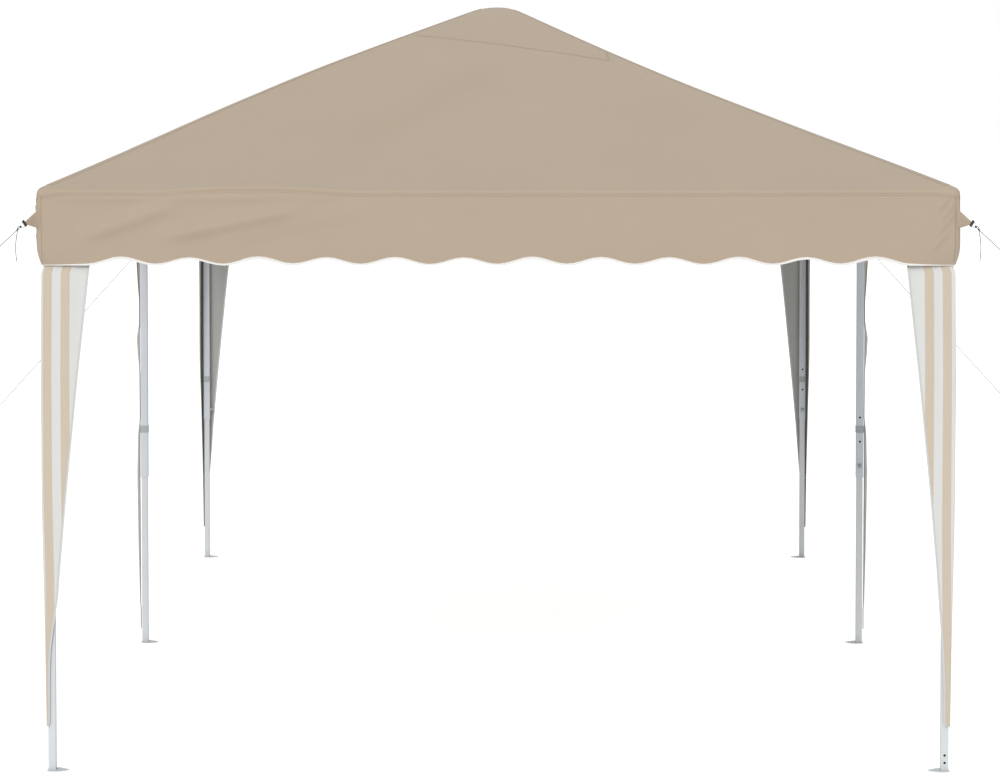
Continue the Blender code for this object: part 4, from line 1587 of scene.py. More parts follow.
    def peg(self) -> Object:
        """The round steel peg with its hooked top."""
        foot = self.peg_foot()
        side = self.out * math.cos(self.peg_lean) - Vector((0, 0, math.sin(self.peg_lean)))
        neck = foot + self.lean * (self.peg_height - self.peg_hook)
        points = [foot + self.lean * 1 * MM, foot + self.lean * 0.02, neck - self.lean * 0.01]
        for step in range(13):
            angle = math.pi * step / 12
            reach = side * (1 - math.cos(angle)) + self.lean * math.sin(angle)
            points.append(neck + reach * (self.peg_hook / 2))
        made = tube(f"ground_peg_{self.label}", points, self.peg_radius, sides=6)
        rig.replaces(made, f"peg_{self.label}")
        return dressed(made, self.palette["zinc"], Slot.ZINC)


# Curtains


@dataclass
class AtLeg:
    """What stands at one of the six legs."""

    palette: Palette
    row: Row
    side: Side

    def __post_init__(self) -> None:
        """Work out the leg's name and where it stands."""
        self.label = f"{self.row}_{self.side}"
        self.place = Vector((self.side.value * LEG_X, self.row.value * LEG_Y, 0))


@dataclass(frozen=True)
class Section:
    """A curtain's shape at one height.

    near and free are how far its outer face stands from the leg's axis, at the leg and at
    its free edge. reach is how far the free edge lies along the side from the axis.
    """

    height: float
    near: float
    free: float
    reach: float


CORNER_SECTIONS = (
    Section(1.674, 0.0185, 0.0185, 0.150),
    Section(1.652, 0.0195, 0.0195, 0.151),
    Section(1.630, 0.0255, 0.0255, 0.155),
    Section(1.300, 0.0285, 0.0285, 0.121),
    Section(0.900, 0.0280, 0.0280, 0.080),
    Section(0.660, 0.0240, 0.0240, 0.054),
    Section(0.400, 0.0200, 0.0200, 0.030),
    Section(0.284, 0.0190, 0.0190, 0.024),
    Section(0.148, 0.0175, 0.0175, 0.021),
)

MIDDLE_SECTIONS = (
    Section(1.674, 0.0185, 0.0185, 0.150),
    Section(1.652, 0.0185, 0.0185, 0.151),
    Section(1.630, 0.0290, 0.0270, 0.155),
    Section(1.560, 0.0290, 0.0260, 0.147),
    Section(1.470, 0.0240, 0.0240, 0.137),
    Section(1.400, 0.0175, 0.0250, 0.130),
    Section(1.310, 0.0175, 0.0290, 0.122),
    Section(1.240, 0.0175, 0.0400, 0.115),
    Section(1.170, 0.0175, 0.0350, 0.108),
    Section(1.100, 0.0175, 0.0270, 0.101),
    Section(0.920, 0.0175, 0.0240, 0.082),
    Section(0.850, 0.0175, 0.0320, 0.074),
    Section(0.700, 0.0175, 0.0340, 0.058),
    Section(0.560, 0.0175, 0.0310, 0.044),
    Section(0.400, 0.0175, 0.0275, 0.030),
    Section(0.284, 0.0175, 0.0240, 0.024),
    Section(0.160, 0.0175, 0.0205, 0.019),
    Section(0.140, 0.0175, 0.0175, 0.018),
    Section(0.057, 0.0175, 0.0175, 0.016),
)


@dataclass
class LegCurtain(AtLeg):
    """A curtain tied along a leg: an L in plan on a corner leg, one strip on a middle leg."""

    slide: float = 0.650
    cloth: float = 1.0 * MM
    hem_width: float = 6 * MM
    corner_radius: float = 5 * MM
    wrap_left: float = 7 * MM
    wrap_low: float = 12 * MM
    tuck: float = 0.47
    middle_start: float = -0.010
    rows: int = 110
    steps: int = 26

    def __post_init__(self) -> None:
        """Work out where the leg stands and how the cloth is cut."""
        super().__post_init__()
        self.flat = self.row is Row.MIDDLE
        self.sections = MIDDLE_SECTIONS if self.flat else CORNER_SECTIONS
        self.top = self.sections[0].height
        self.bottom = self.sections[-1].height
        self.heights = np.linspace(self.top, self.bottom, self.rows)
        self.arc = self.corner_radius * math.pi / 4

    def section(self, height: float) -> Section:
        """The curtain's shape at a height, drawn in to a rounded tip at the bottom."""
        heights = [section.height for section in self.sections][::-1]
        near, free, reach = (
            float(np.interp(height, heights, [getattr(section, name) for section in self.sections][::-1]))
            for name in ("near", "free", "reach")
        )
        tip = 0.70 + 0.30 * float(eased((height - self.bottom) / 0.012))
        return Section(height, near, free, reach * tip)

    def ends(self, height: float) -> tuple[float, float]:
        """Where the cloth's two edges lie along it at a height.

        The front left curtain is drawn in more at its foot, on the front.
        """
        reach = self.section(height).reach
        if self.flat:
            return self.middle_start, reach
        if self.row is Row.FRONT and self.side is Side.LEFT:
            return -reach, reach * (1 - self.tuck * float(eased((0.60 - height) / 0.27)))
        return -reach, reach

    def wrap(self, height: float) -> float:
        """How much further round the leg the striped cloth lies at a height."""
        if self.flat:
            return -self.middle_start
        left = self.wrap_left if self.side is Side.LEFT else 0.0
        return max(left, self.wrap_low * float(eased((0.95 - height) / 0.6)))

    def point(self, height: float, along: float, off: float) -> Vector:
        """A point of the outer face.

        Args:
            height: above the ground.
            along: distance along the cloth from the leg's axis or, on a corner leg, from its
                outer corner.
            off: how far to stand off the face.

        Returns:
            The point in metres.
        """
        section = self.section(height)
        share = min(max(abs(along) / section.reach, 0.0), 1.0)
        ripple = math.sin(2 * math.pi * abs(along) / 0.075 + 0.6) * eased((abs(along) - 0.012) / 0.05)
        ripple *= 1.8 * MM * eased((height - 0.75) / 0.6) * (math.sin(math.pi * share) if self.flat else 1.0)
        sway = 0.4 * MM * math.sin(11.0 * height + 40.0 * abs(along)) * eased((height - 0.35) / 0.5)
        stand = section.near + (section.free - section.near) * share + off + sway + ripple
        if self.flat:
            return self.place + Vector((self.side.value * stand, along, height))
        radius = self.corner_radius
        straight = abs(along) - self.arc
        hub = section.near + off - radius
        if straight < 0:
            angle = math.pi / 4 + along / radius
            x, y = hub + radius * math.cos(angle), hub + radius * math.sin(angle)
        else:
            x, y = (stand, hub - straight) if along < 0 else (hub - straight, stand)
        return self.place + Vector((self.side.value * x, self.row.value * y, height))

    def strip(self, name: str, spans: Callable[[float], np.ndarray], off: float) -> Object:
        """A strip of cloth down the curtain.

        Args:
            name: the object's name.
            spans: gives, for a height, the distances along the cloth at which the points lie.
            off: how far the strip stands off the curtain's outer face.

        Returns:
            The open sheet, faces outward.
        """
        laid = [(height, along) for height in self.heights for along in spans(height)]
        points = [self.point(height, along, off) for height, along in laid]
        places = np.array([(abs(along) + self.wrap(height), height) for height, along in laid])
        faces = grid(self.rows, len(laid) // self.rows)
        if self.turns_over():
            faces = [face[::-1] for face in faces]
        return mesh_of(name, points, faces, places[np.array(faces).ravel()])

    def turns_over(self) -> bool:
        """Whether the points run the other way round on this leg, seen from outside."""
        if self.flat:
            return self.side is Side.LEFT
        return self.side.value * self.row.value > 0

    def whole(self, height: float) -> np.ndarray:
        """Distances across the whole curtain."""
        start, stop = self.ends(height)
        if self.flat:
            return np.linspace(start, stop, self.steps)
        near = np.linspace(-self.arc, self.arc, 5)
        before = np.linspace(start, -self.arc, self.steps)[:-1]
        after = np.linspace(self.arc, stop, self.steps)[1:]
        return np.concatenate([before, near, after])

    def build(self) -> list[Object]:
        """Make the curtain with its hems and their stitches."""
        sheet = self.strip(f"curtain_cloth_{self.label}", self.whole, 0.0)
        # The inner face takes the lining, which is darkened with painted shade.
        curtain = thickened(sheet, self.cloth, finishes=(self.palette["curtain"], self.palette["lining"]))
        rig.replaces(smooth(curtain, math.radians(50)), f"curtain_{self.label}")
        hems = [self.hem(end) for end in ((1,) if self.flat else (0, 1))]
        hem = smooth(joined(f"curtain_hem_{self.label}", hems), math.radians(50))
        stitches = self.stitches()
        dressed(curtain, None, Slot.CURTAIN)
        dressed(hem, self.palette["hem"], Slot.CURTAIN)
        dressed(stitches, self.palette["pale thread"], Slot.CURTAIN)
        anchor = (self.place.x, self.place.y, self.top)
        height = self.top - self.bottom
        for piece in (curtain, hem, stitches):
            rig.squash(
                piece, f"slide_{self.label}", axis=(0, 0, 1), anchor=anchor, keep=1 - self.slide / height
            )
        widths = [self.ends(z)[1] - self.ends(z)[0] for z in self.heights[::-1]]
        area = float(np.trapz(widths, self.heights[::-1]))
        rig.sheet(curtain, flat=(max(widths), height), held="hung", area=area, with_pieces=[hem, stitches])
        return [curtain, hem, stitches]

    def hem_edges(self, end: int, height: float) -> tuple[float, float]:
        """Where a hem's inner line and its folded edge lie along the cloth."""
        start, stop = self.ends(height)
        width = min(self.hem_width, (stop - start) * 0.15)
        return (stop - width, stop + 0.6 * MM) if end else (start + width, start - 0.6 * MM)

    def hem(self, end: int) -> Object:
        """The folded white hem down one edge: 0 for the first edge, 1 for the last."""

        def edge(height: float) -> np.ndarray:
            """Distances across the hem."""
            return np.sort(np.linspace(*self.hem_edges(end, height), 5))

        return thickened(self.strip(f"hem {self.label} {end}", edge, 0.7 * MM), 2.4 * MM)

    def stitches(self) -> Object:
        """The stitches down both hems."""
        lines = []
        for end, sign in ((1, 1),) if self.flat else ((0, -1), (1, 1)):
            places = [self.hem_edges(end, height)[0] + sign * 2 * MM for height in self.heights]
            points = [self.point(height, place, 0.85 * MM) for height, place in zip(self.heights, places)]
            lines.append(line_of(f"hem stitch line {self.label} {end}", points))
        lines = joined(f"hem stitch lines {self.label}", lines)
        return STITCHES.run(f"curtain_stitches_{self.label}", lines, self.palette["pale thread"])


# Frame


@dataclass
class Leg(AtLeg):
    """A telescopic leg: the outer tube with its collar and lock pin, and the inner tube on its foot."""

    outer: float = 0.030
    inner: float = 0.025
    wall: float = 1.2 * MM
    outer_corner: float = 3.0 * MM
    inner_corner: float = 2.6 * MM
    outer_bottom: float = 0.680
    outer_top: float = 1.880
    inner_top: float = 0.935
    collar_height: float = 0.876
    collar_length: float = 0.028
    collar_width: float = 0.033
    hole_radius: float = 3.5 * MM
    hole_heights: tuple[float, ...] = (0.826, 0.925)
    pin_height: float = 0.727
    bolt_heights: tuple[float, ...] = (0.028, 0.0525)
    foot_tip: float = 0.054
    foot_half_width: float = 0.036
    foot_heel: float = 0.016
    foot_thickness: float = 3 * MM
    foot_edge: float = 0.7 * MM
    peg_hole: float = 0.036
    peg_hole_radius: float = 5 * MM

    def __post_init__(self) -> None:
        """Work out where the leg stands and which way its tubes are turned."""
        super().__post_init__()
        corner = {(Row.REAR, Side.LEFT): -math.pi / 2, (Row.FRONT, Side.RIGHT): math.pi / 2}
        plain = 0.0 if self.side is Side.LEFT else math.pi
        self.turn = corner.get((self.row, self.side), plain)
        self.body = f"leg_{self.label}"

    def stood(self, thing: Object, turn: float) -> Object:
        """Put a piece made on the origin onto the leg's place, in its mesh."""
        thing.data.transform(Matrix.Translation(self.place) @ Matrix.Rotation(turn, 4, "Z"))
        return thing

    def build(self) -> list[Object]:
        """Make the tubes, the collar, the lock pin, the foot, the small black screws, and black dots of painted shade
        on the height holes.
        """
        away = Matrix.Rotation(self.turn, 3, "Z") @ Vector((0, 1, 0))
        heights = self.hole_heights
        # The black domes over the height holes are painted shade: they stand in for the dark insides of the open holes.
        hole_shades = self.buttons("hole_plugs", away, self.outer, heights, 4.3 * MM, 0.7 * MM, FIXED_BODY)
        outward = {(Row.REAR, Side.LEFT): (0, 1, 0), (Row.FRONT, Side.RIGHT): (0, -1, 0)}
        away = Vector(outward.get((self.row, self.side), (self.side.value, 0, 0)))
        heights = self.bolt_heights
        screws = self.buttons("foot_screws", away, self.inner, heights, 4.2 * MM, 1.0 * MM, self.body)
        return [self.outer_tube(), self.collar(), self.lock_pin(), self.inner_tube(), hole_shades, screws]

    def drilled(self, name: str, blank: Object) -> Object:
        """Drill the height holes through a tube's wall on the lock pin's side."""
        cutters = []
        for height in self.hole_heights:
            start, end = (0, self.outer / 5, height), (0, self.outer, height)
            hole = rod(f"hole {height}", start, end, self.hole_radius, 20)
            cutters.append(self.stood(hole, self.turn))
        return cut(name, self.stood(blank, 0.0), cutters)

    def outer_tube(self) -> Object:
        """The outer tube with its height holes."""
        sizes = (self.outer, self.wall, self.outer_corner, self.outer_bottom, self.outer_top)
        made = self.drilled(f"outer_tube_{self.label}", square_tube("outer tube", *sizes))
        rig.replaces(made, f"upper_leg_{self.label}")
        return dressed(smooth(made, CRISP_ANGLE), self.palette["steel"], Slot.STEEL)

    def collar(self) -> Object:
        """The moulded collar round the tube, with its rounded edges."""
        half = self.collar_length / 2
        low, high = self.collar_height - half, self.collar_height + half
        wall = (self.collar_width - self.outer) / 2 - 0.1 * MM
        made = square_tube(f"tube_collar_{self.label}", self.collar_width, wall, 4 * MM, low, high)
        self.stood(made, self.turn)
        return dressed(smooth(made, CRISP_ANGLE), self.palette["collar"], Slot.LIGHT_STEEL)

    def lock_pin(self) -> Object:
        """The sprung lock pin with its boss on the tube's inward face."""
        face = self.outer / 2
        profile = (
            (9.0, 0.2), (9.0, 4.5), (8.2, 6.6), (6.6, 8.0), (4.2, 8.2),
            (4.0, 8.6), (4.0, 13.6), (3.2, 14.7), (0.0, 15.0),
        )
        rings = [(radius * MM, face + depth * MM) for radius, depth in profile]
        made = turned(f"lock_pin_{self.label}", rings, self.pin_height)
        self.stood(made, self.turn)
        return dressed(smooth(made), self.palette["collar"], Slot.LIGHT_STEEL)

    def inner_tube(self) -> Object:
        """The inner tube on its pointed foot plate, with a weld round its bottom."""
        turn = 0.0 if self.side is Side.LEFT else math.pi
        sizes = (self.inner, self.wall, self.inner_corner, self.foot_thickness, self.inner_top)
        blank = square_tube("inner tube", *sizes)
        low, high = self.foot_thickness, self.foot_thickness + 2.4 * MM
        bead = square_tube("weld", self.inner + 4 * MM, 1.9 * MM, 4 * MM, low, high)
        start, end = (self.peg_hole, 0, -0.01), (self.peg_hole, 0, 0.01)
        plate = cut("foot plate", self.foot_plate(), [rod("peg hole", start, end, self.peg_hole_radius, 28)])
        foot = [self.stood(thing, turn) for thing in (bead, plate)]
        made = joined(f"inner_tube_{self.label}", [self.drilled("inner tube drilled", blank), *foot])
        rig.replaces(made, f"lower_leg_{self.label}")
        smooth(made, CRISP_ANGLE)
        return dressed(made, self.palette["light steel"], Slot.LIGHT_STEEL, self.body)

    def foot_plate(self) -> Object:
        """The leaf-shaped foot plate with a softly rounded edge."""
        steps = 22
        edge = []
        for step in range(steps):
            share = step / steps
            swing = math.sin(math.pi * (0.22 + 0.78 * share))
            reach = -self.foot_heel + (self.foot_tip + self.foot_heel) * share
            edge.append((reach, self.foot_half_width * swing**0.9))
        outline = [(x, -y) for x, y in edge] + [(self.foot_tip, 0.0)] + edge[::-1]
        return slab("foot plate", outline, 0.0, self.foot_thickness, self.foot_edge, both=False)

    def buttons(
        self,
        name: str,
        away: Vector,
        width: float,
        heights: Sequence[float],
        radius: float,
        dome: float,
        body: str,
    ) -> Object:
        """Low black domes on a face of a tube.

        Args:
            name: the start of the piece's name.
            away: the way that the face looks.
            width: the tube's width.
            heights: the height of each dome.
            radius: of each dome.
            dome: how far each stands off the face.
            body: the body that carries them.

        Returns:
            The domes as one piece.
        """
        places = [self.place + away * (width / 2) + Vector((0, 0, height)) for height in heights]
        dots = spots(f"{name} places {self.label}", places, [away] * len(places))
        made = RIVETS.run(f"{name}_{self.label}", dots, self.palette["plug"], Radius=radius, Dome=dome)
        return dressed(made, self.palette["plug"], Slot.PLASTIC, body)


@dataclass
class Brackets:
    """The moulded brackets at the top of each leg and the sliders below them."""

    palette: Palette
    pivots: tuple[float, float] = PIVOTS
    pivot_offset: float = 0.045
    lug_outside: float = 14.5 * MM
    edge: float = 0.9 * MM

    def build(self) -> list[Object]:
        """Make every bracket with rounded edges, and the rivets through its lugs."""
        made, places, facings = [], [], []
        for row in Row:
            for side in Side:
                label = f"{row}_{side}"
                for kind in ("top_bracket", "slider_bracket"):
                    piece = refined(f"moulded_{kind}_{label}", f"{kind}_{label}", self.edge)
                    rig.replaces(piece, f"{kind}_{label}")
                    made.append(dressed(piece, self.palette["plastic"], Slot.PLASTIC))
                leg = Vector((side.value * LEG_X, row.value * LEG_Y, 0))
                for inward in self.directions(row, side):
                    across = Vector((inward.y, -inward.x, 0))
                    for pivot in self.pivots:
                        for sign in (-1, 1):
                            centre = leg + inward * self.pivot_offset + across * (sign * self.lug_outside)
                            places.append(centre + Vector((0, 0, pivot)))
                            facings.append(across * sign)
        dots = spots("bracket rivet places", places, facings)
        rivets = RIVETS.run("bracket_rivets", dots, self.palette["zinc"], Dome=1.8 * MM)
        return [*made, dressed(rivets, self.palette["zinc"], Slot.ZINC)]

    def directions(self, row: Row, side: Side) -> list[Vector]:
        """The ways in which trusses run from a leg."""
        found = [Vector((-side.value, 0, 0))]
        if row is not Row.FRONT:
            found.append(Vector((0, -1, 0)))
        if row is not Row.REAR:
            found.append(Vector((0, 1, 0)))
        return found


@dataclass
class Truss:
    """Two scissor pairs side by side between two legs, riveted where they cross."""

    palette: Palette
    name: str
    centre: Vector
    turn: float
    span: float
    upper: float = PIVOTS[0]
    lower: float = PIVOTS[1]
    pivot_offset: float = 0.045
    depth: float = 0.024
    width: float = 10.4 * MM
    layer: float = 5.4 * MM
    edge: float = 1.8 * MM

    def build(self) -> list[Object]:
        """Make the bars and the rivets."""
        half = self.span / 2 - self.pivot_offset
        ends = [
            ((-half, self.upper), (0, self.lower), -1),
            ((-half, self.lower), (0, self.upper), 1),
            ((0, self.lower), (half, self.upper), 1),
            ((0, self.upper), (half, self.lower), -1),
        ]
        bars = [self.bar(start, end, layer) for start, end, layer in ends]
        made = joined(f"scissor_bars_{self.name}", bars)
        pose = Matrix.Translation(self.centre) @ Matrix.Rotation(self.turn, 4, "Z")
        made.data.transform(pose)
        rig.replaces(made, f"truss_{self.name}")
        places, facings = [], []
        middle = (self.upper + self.lower) / 2
        for x, z in ((-half / 2, middle), (half / 2, middle), (0, self.upper), (0, self.lower)):
            for sign in (-1, 1):
                places.append(pose @ Vector((x, sign * (self.layer + self.width / 2), z)))
                facings.append(pose.to_3x3() @ Vector((0, sign, 0)))
        rivets = RIVETS.run(
            f"truss_rivets_{self.name}",
            spots(f"rivet places {self.name}", places, facings),
            self.palette["zinc"],
            Radius=5 * MM,
            Dome=2 * MM,
        )
        return [
            dressed(smooth(made, CRISP_ANGLE), self.palette["steel"], Slot.STEEL),
            dressed(rivets, self.palette["zinc"], Slot.ZINC),
        ]

    def bar(self, start: tuple[float, float], end: tuple[float, float], layer: int) -> Object:
        """One flat bar with round ends and rounded edges."""
        run = Vector((end[0] - start[0], 0, end[1] - start[1]))
        radius = self.depth / 2
        outline = []
        for centre, first in ((run.length, -90), (0.0, 90)):
            for step in range(9):
                angle = math.radians(first + 180 * step / 8)
                outline.append((centre + radius * math.cos(angle), radius * math.sin(angle)))
        made = slab("bar", outline, -self.width / 2, self.width, self.edge)
        stand = Matrix.Rotation(math.pi / 2, 4, "X")
        tilt = Matrix.Rotation(-math.atan2(run.z, run.x), 4, "Y")
        shift = Matrix.Translation((start[0], layer * self.layer, start[1]))
        made.data.transform(shift @ tilt @ stand)
        return made


@dataclass
class Peak:
    """A peak pole with its domed cap, and the arms that carry it."""

    palette: Palette
    end: Row
    pole_y: float = 1.480
    pole_radius: float = 12.5 * MM
    pole_bottom: float = 1.690
    cap_top: float = 2.538
    cap_radius: float = 32 * MM

    def build(self) -> list[Object]:
        """Make the pole, its cap and the arms."""
        centre = Vector((0, self.end.value * self.pole_y, 0))
        wall = 1.2 * MM
        bottom, top = self.pole_bottom, self.cap_top - 14 * MM
        tube_profile = (
            (self.pole_radius - wall, bottom),
            (self.pole_radius - 0.3 * MM, bottom),
            (self.pole_radius, bottom + 0.3 * MM),
            (self.pole_radius, top),
            (self.pole_radius - wall, top),
        )
        pole = spun(f"peak_tube_{self.end}", tube_profile, closed=True)
        crown = self.cap_top
        cap_profile = (
            (0.0, crown - 16 * MM),
            (self.pole_radius + 1.0 * MM, crown - 16 * MM),
            (self.cap_radius - 2 * MM, crown - 15.5 * MM),
            (self.cap_radius, crown - 13.5 * MM),
            (self.cap_radius, crown - 8 * MM),
            (self.cap_radius - 1.5 * MM, crown - 5 * MM),
            (self.cap_radius - 6 * MM, crown - 2.4 * MM),
            (self.cap_radius - 14 * MM, crown - 0.7 * MM),
            (0.0, crown),
        )
        cap = spun(f"peak_cap_{self.end}", cap_profile, closed=False)
        for thing in (pole, cap):
            thing.data.transform(Matrix.Translation(centre))
            smooth(thing)
        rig.replaces(pole, f"peak_pole_{self.end}")
        arms = refined(f"peak_scissors_{self.end}", f"peak_arms_{self.end}", 1.2 * MM)
        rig.replaces(arms, f"peak_arms_{self.end}")
        return [
            dressed(pole, self.palette["steel"], Slot.STEEL),
            dressed(cap, self.palette["plastic"], Slot.PLASTIC),
            dressed(arms, self.palette["steel"], Slot.STEEL),
            self.rivets(centre),
        ]

    def rivets(self, centre: Vector, reach: float = 1.460, start: float = 0.038) -> Object:
        """The rivets where each pair of arms crosses."""
        places, facings = [], []
        middle = sum(PIVOTS) / 2
        across_at = (start + reach - 0.0126 - 0.011) / 2
        for turn in range(4):
            spin = Matrix.Rotation(turn * math.pi / 2, 3, "Z")
            for sign in (-1, 1):
                out = Vector((across_at, sign * 10.9 * MM, 0))
                places.append(centre + spin @ out + Vector((0, 0, middle)))
                facings.append(spin @ Vector((0, sign, 0)))
        dots = spots(f"peak rivet places {self.end}", places, facings)
        made = RIVETS.run(f"peak_rivets_{self.end}", dots, self.palette["zinc"], Dome=1.8 * MM)
        return dressed(made, self.palette["zinc"], Slot.ZINC)


# Studio


@dataclass
class Studio:
    """A pale floor, an even white surround with one soft light, and the camera."""

    palette: Palette
    camera_place: tuple[float, float, float] = (0.0618, -14.6875, 2.0948)
    camera_pitch: float = math.radians(-2.822)
    camera_turn: float = math.radians(0.272)
    lens: float = 129.85
    rise: float = -0.08
    surround: float = 1.0
    key_strength: float = 2.0
    key_softness: float = math.radians(28)
    key_from: tuple[float, float, float] = (-0.20, -1.00, 0.58)
    floor_reach: float = 400.0

    def build(self) -> None:
        """Set up the camera, the surround, the light and the floor."""
        camera = bpy.data.objects.new("camera", bpy.data.cameras.new("camera"))
        bpy.context.scene.collection.objects.link(camera)
        camera.location = self.camera_place
        camera.rotation_euler = (math.pi / 2 + self.camera_pitch, 0, self.camera_turn)
        camera.data.lens = self.lens
        camera.data.shift_y = self.rise
        camera.data.clip_end = 2000
        bpy.context.scene.camera = camera
        bpy.context.scene.view_settings.view_transform = "Standard"
        world = bpy.data.worlds.new("white surround")
        world.use_nodes = True
        background = world.node_tree.nodes["Background"]
        background.inputs["Color"].default_value = (self.surround, self.surround, self.surround, 1)
        bpy.context.scene.world = world
        key = bpy.data.lights.new("soft key", "SUN")
        key.energy = self.key_strength
        key.angle = self.key_softness
        lamp = bpy.data.objects.new("soft key", key)
        bpy.context.scene.collection.objects.link(lamp)
        lamp.rotation_euler = Vector(self.key_from).to_track_quat("Z", "Y").to_euler()
        reach = self.floor_reach
        corners = [(-reach, -reach, 0), (reach, -reach, 0), (reach, reach, 0), (-reach, reach, 0)]
        floor = mesh_of("floor", [(x, y, -0.3 * MM) for x, y, _ in corners], [(0, 1, 2, 3)])
        floor.data.materials.append(self.palette["floor"])
        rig.stage(floor)


# Making tubes, plates and turned shapes


def around(centre: Vector, side: Vector, other: Vector, radius: float, angle: float) -> Vector:
    """The point at an angle on the circle that two directions span."""
    return centre + side * (radius * math.cos(angle)) + other * (radius * math.sin(angle))


def joined(name: str, things: list[Object]) -> Object:
    """Join mesh objects into one."""
    first = things[0]
    if len(things) > 1:
        with bpy.context.temp_override(
            active_object=first, object=first, selected_objects=things, selected_editable_objects=things
        ):
            bpy.ops.object.join()
    first.name = name
    first.data.name = name
    return first


def lofted(name: str, rings: Sequence[Sequence[Point]]) -> Object:
    """A closed shape through rings of equal count, capped at both ends."""
    count = len(rings[0])
    faces = grid(len(rings), count, looped=True)
    faces.append(tuple(range(count))[::-1])
    faces.append(tuple(range((len(rings) - 1) * count, len(rings) * count)))
    return cleaned(mesh_of(name, [point for ring in rings for point in ring], faces))


def unwrap_flat(thing: Object, along: Vector) -> None:
    """Give a piece its places on the flat cloth: along a direction, and up."""
    mesh = thing.data
    layer = mesh.uv_layers.new(name="cloth")
    for corner in mesh.loops:
        place = mesh.vertices[corner.vertex_index].co
        layer.data[corner.index].uv = (place.dot(along), place.z)


def tube(
    name: str, points: Sequence[Point], radius: float, closed: bool = False, sides: int = 4
) -> Object:
    """A round bar along a line of points.

    Args:
        name: the object's name.
        points: the points that its axis follows.
        radius: in metres.
        closed: whether it runs back to its start.
        sides: the curve's bevel resolution.

    Returns:
        A mesh object.
    """
    curve = bpy.data.curves.new(name, "CURVE")
    curve.dimensions = "3D"
    curve.bevel_depth = radius
    curve.bevel_resolution = sides
    curve.use_fill_caps = not closed
    spline = curve.splines.new("POLY")
    spline.points.add(len(points) - 1)
    spline.use_cyclic_u = closed
    for slot, point in zip(spline.points, points):
        slot.co = (*point, 1.0)
    made = bpy.data.objects.new(name + " line", curve)
    bpy.context.scene.collection.objects.link(made)
    return smooth(baked(name, made), math.radians(60))


def square_loop(width: float, radius: float, steps: int = 5) -> list[tuple[float, float]]:
    """A square outline with round corners, centred on the origin."""
    half = width / 2 - radius
    loop = []
    for corner, (x, y) in enumerate(((1, 1), (-1, 1), (-1, -1), (1, -1))):
        for step in range(steps + 1):
            angle = math.pi / 2 * (corner + step / steps)
            loop.append((x * half + radius * math.cos(angle), y * half + radius * math.sin(angle)))
    return loop


def square_tube(name: str, width: float, wall: float, radius: float, low: float, high: float) -> Object:
    """An open square tube with round corners and slightly broken ends.

    Args:
        name: the object's name.
        width: across its outer faces.
        wall: its wall thickness.
        radius: of its outer corners.
        low: the height of its bottom end.
        high: the height of its top end.

    Returns:
        A closed mesh standing on the origin's axis.
    """
    nick = min(0.35 * MM, wall / 3)
    outside = square_loop(width, radius)
    eased_off = square_loop(width - 2 * nick, max(radius - nick, 0.2 * MM))
    inside = square_loop(width - 2 * wall, max(radius - wall, 0.2 * MM))
    levels = (
        (inside, low),
        (eased_off, low),
        (outside, low + nick),
        (outside, high - nick),
        (eased_off, high),
        (inside, high),
    )
    points = [(x, y, z) for loop, z in levels for x, y in loop]
    return cleaned(mesh_of(name, points, grid(len(levels), len(outside), looped=True, back=True)))


def slab(
    name: str, outline: Sequence[Point], low: float, thickness: float, edge: float, both: bool = True
) -> Object:
    """A flat plate with rounded edges.

    Args:
        name: the object's name.
        outline: its outline in plan.
        low: the height of its lower face.
        thickness: in metres.
        edge: the rounding's width, in metres.
        both: whether the lower face's edge is rounded as well as the upper one's.

    Returns:
        A closed mesh object.
    """
    shape = bmesh.new()
    face = shape.faces.new([shape.verts.new((x, y, low)) for x, y in outline])
    grown = bmesh.ops.extrude_face_region(shape, geom=[face])
    top = [item for item in grown["geom"] if isinstance(item, bmesh.types.BMVert)]
    bmesh.ops.translate(shape, vec=(0, 0, thickness), verts=top)
    bmesh.ops.recalc_face_normals(shape, faces=shape.faces)
    rim = [side for side in shape.edges if abs(side.verts[0].co.z - side.verts[1].co.z) < 1e-6]
    if not both:
        rim = [side for side in rim if side.verts[0].co.z > low + thickness / 2]
    bmesh.ops.bevel(shape, geom=rim, offset=edge, segments=2, affect="EDGES", clamp_overlap=True)
    return meshed(name, shape)


def rod(name: str, start: Point, end: Point, radius: float, sides: int = 16) -> Object:
    """A round bar between two points, for cutting holes."""
    start, end = Vector(start), Vector(end)
    along = end - start
    shape = bmesh.new()
    bmesh.ops.create_cone(
        shape,
        cap_ends=True,
        segments=sides,
        radius1=radius,
        radius2=radius,
        depth=along.length,
        matrix=Matrix.Translation((start + end) / 2) @ along.to_track_quat("Z", "Y").to_matrix().to_4x4(),
    )
    return meshed(name, shape)


def cut(name: str, blank: Object, cutters: list[Object]) -> Object:
    """Cut shapes out of a blank and keep the result as a plain mesh."""
    for number, cutter in enumerate(cutters):
        hole = blank.modifiers.new(f"hole {number}", "BOOLEAN")
        hole.operation = "DIFFERENCE"
        hole.solver = "EXACT"
        hole.object = cutter
    made = baked(name, blank)
    discard(*cutters)
    return made


def spun(name: str, profile: Sequence[tuple[float, float]], closed: bool, sides: int = 40) -> Object:
    """Turn a profile of radius and height about the origin's +Z axis.

    Args:
        name: the object's name.
        profile: radius and height, from the bottom up.
        closed: whether the profile runs back to its start, as a tube's wall does.
        sides: steps round the axis.

    Returns:
        A closed mesh object.
    """
    points = []
    for radius, height in profile:
        for step in range(sides):
            angle = 2 * math.pi * step / sides
            points.append((radius * math.cos(angle), radius * math.sin(angle), height))
    return cleaned(mesh_of(name, points, grid(len(profile), sides, looped=True, back=closed)))


def turned(name: str, profile: Sequence[tuple[float, float]], height: float) -> Object:
    """A round knob that points along +Y at a height, closed at its back."""
    made = spun(name, ((0.0, profile[0][1]), *profile), closed=False, sides=24)
    made.data.transform(Matrix.Translation((0, 0, height)) @ Matrix.Rotation(-math.pi / 2, 4, "X"))
    return made


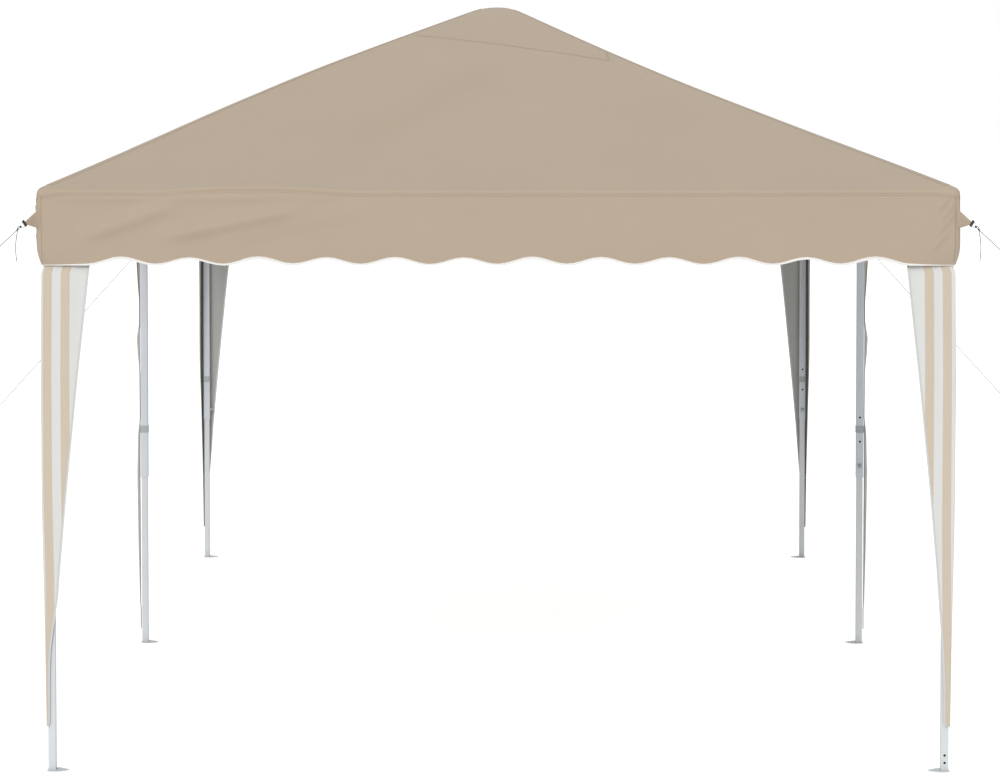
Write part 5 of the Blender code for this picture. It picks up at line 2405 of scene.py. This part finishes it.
def spots(name: str, places: Sequence[Vector], facings: Sequence[Vector]) -> Object:
    """Loose points, each with the way that it faces."""
    mesh = bpy.data.meshes.new(name)
    mesh.from_pydata([tuple(place) for place in places], [], [])
    facing = mesh.attributes.new("facing", "FLOAT_VECTOR", "POINT")
    facing.data.foreach_set("vector", np.array([tuple(way) for way in facings], np.float32).ravel())
    return link(name, mesh)


def refined(name: str, source: str, edge: float) -> Object:
    """A copy of a frame node's solid with its edges rounded.

    Args:
        name: the new piece's name.
        source: the frame node.
        edge: the rounding's width, in metres.

    Returns:
        The new mesh object.
    """
    shape = bmesh.new()
    shape.from_mesh(frame["nodes"][source].data)
    bmesh.ops.remove_doubles(shape, verts=shape.verts, dist=0.02 * MM)
    flat = math.radians(1)
    bmesh.ops.dissolve_limit(shape, angle_limit=flat, verts=shape.verts, edges=shape.edges)
    copy = meshed(name, shape)
    rounding = copy.modifiers.new("rounding", "BEVEL")
    rounding.width = edge
    rounding.segments = 2
    rounding.limit_method = "ANGLE"
    rounding.angle_limit = SMOOTH_ANGLE
    return smooth(baked(name, copy))


STITCHES = stitch_grower()
TAPES = tape_grower()
ROPES = rope_grower()
RIVETS = rivet_grower()
LOG = logging.getLogger("party tent")


def main() -> None:
    """Build every sub-assembly in order, dress it, and report it."""
    logging.basicConfig(level=logging.INFO, format="%(message)s")
    sizes = {"cad": [list(map(float, corner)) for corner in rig.bounds()]}
    palette = Palette(FINISHES)
    Studio(palette).build()
    assemblies: list = [Canopy(palette), Brackets(palette)]
    assemblies += [Guy(palette, end, side) for end in ENDS for side in Side]
    assemblies += [LegCurtain(palette, row, side) for row in Row for side in Side]
    assemblies += [Leg(palette, row, side) for row in Row for side in Side]
    for row in Row:
        place = Vector((0, row.value * LEG_Y, 0))
        assemblies.append(Truss(palette, str(row), place, 0.0, 2 * LEG_X))
    for side in Side:
        for end in ENDS:
            place = Vector((side.value * LEG_X, end.value * LEG_Y / 2, 0))
            assemblies.append(Truss(palette, f"{side}_{end}", place, math.pi / 2, LEG_Y))
    assemblies += [Peak(palette, end) for end in ENDS]
    total = 0
    for assembly in assemblies:
        for piece in assembly.build():
            triangles = sum(len(face.vertices) - 2 for face in piece.data.polygons)
            total += triangles
            LOG.info("%s: %s, %d triangles", type(assembly).__name__, piece.name, triangles)
    LOG.info("all pieces: %d triangles", total)
    sizes["visual"] = [list(map(float, corner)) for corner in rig.bounds()]
    with open(SIZE_FILE, "w") as out:
        json.dump(sizes, out)


if __name__ == "__main__":
    main()
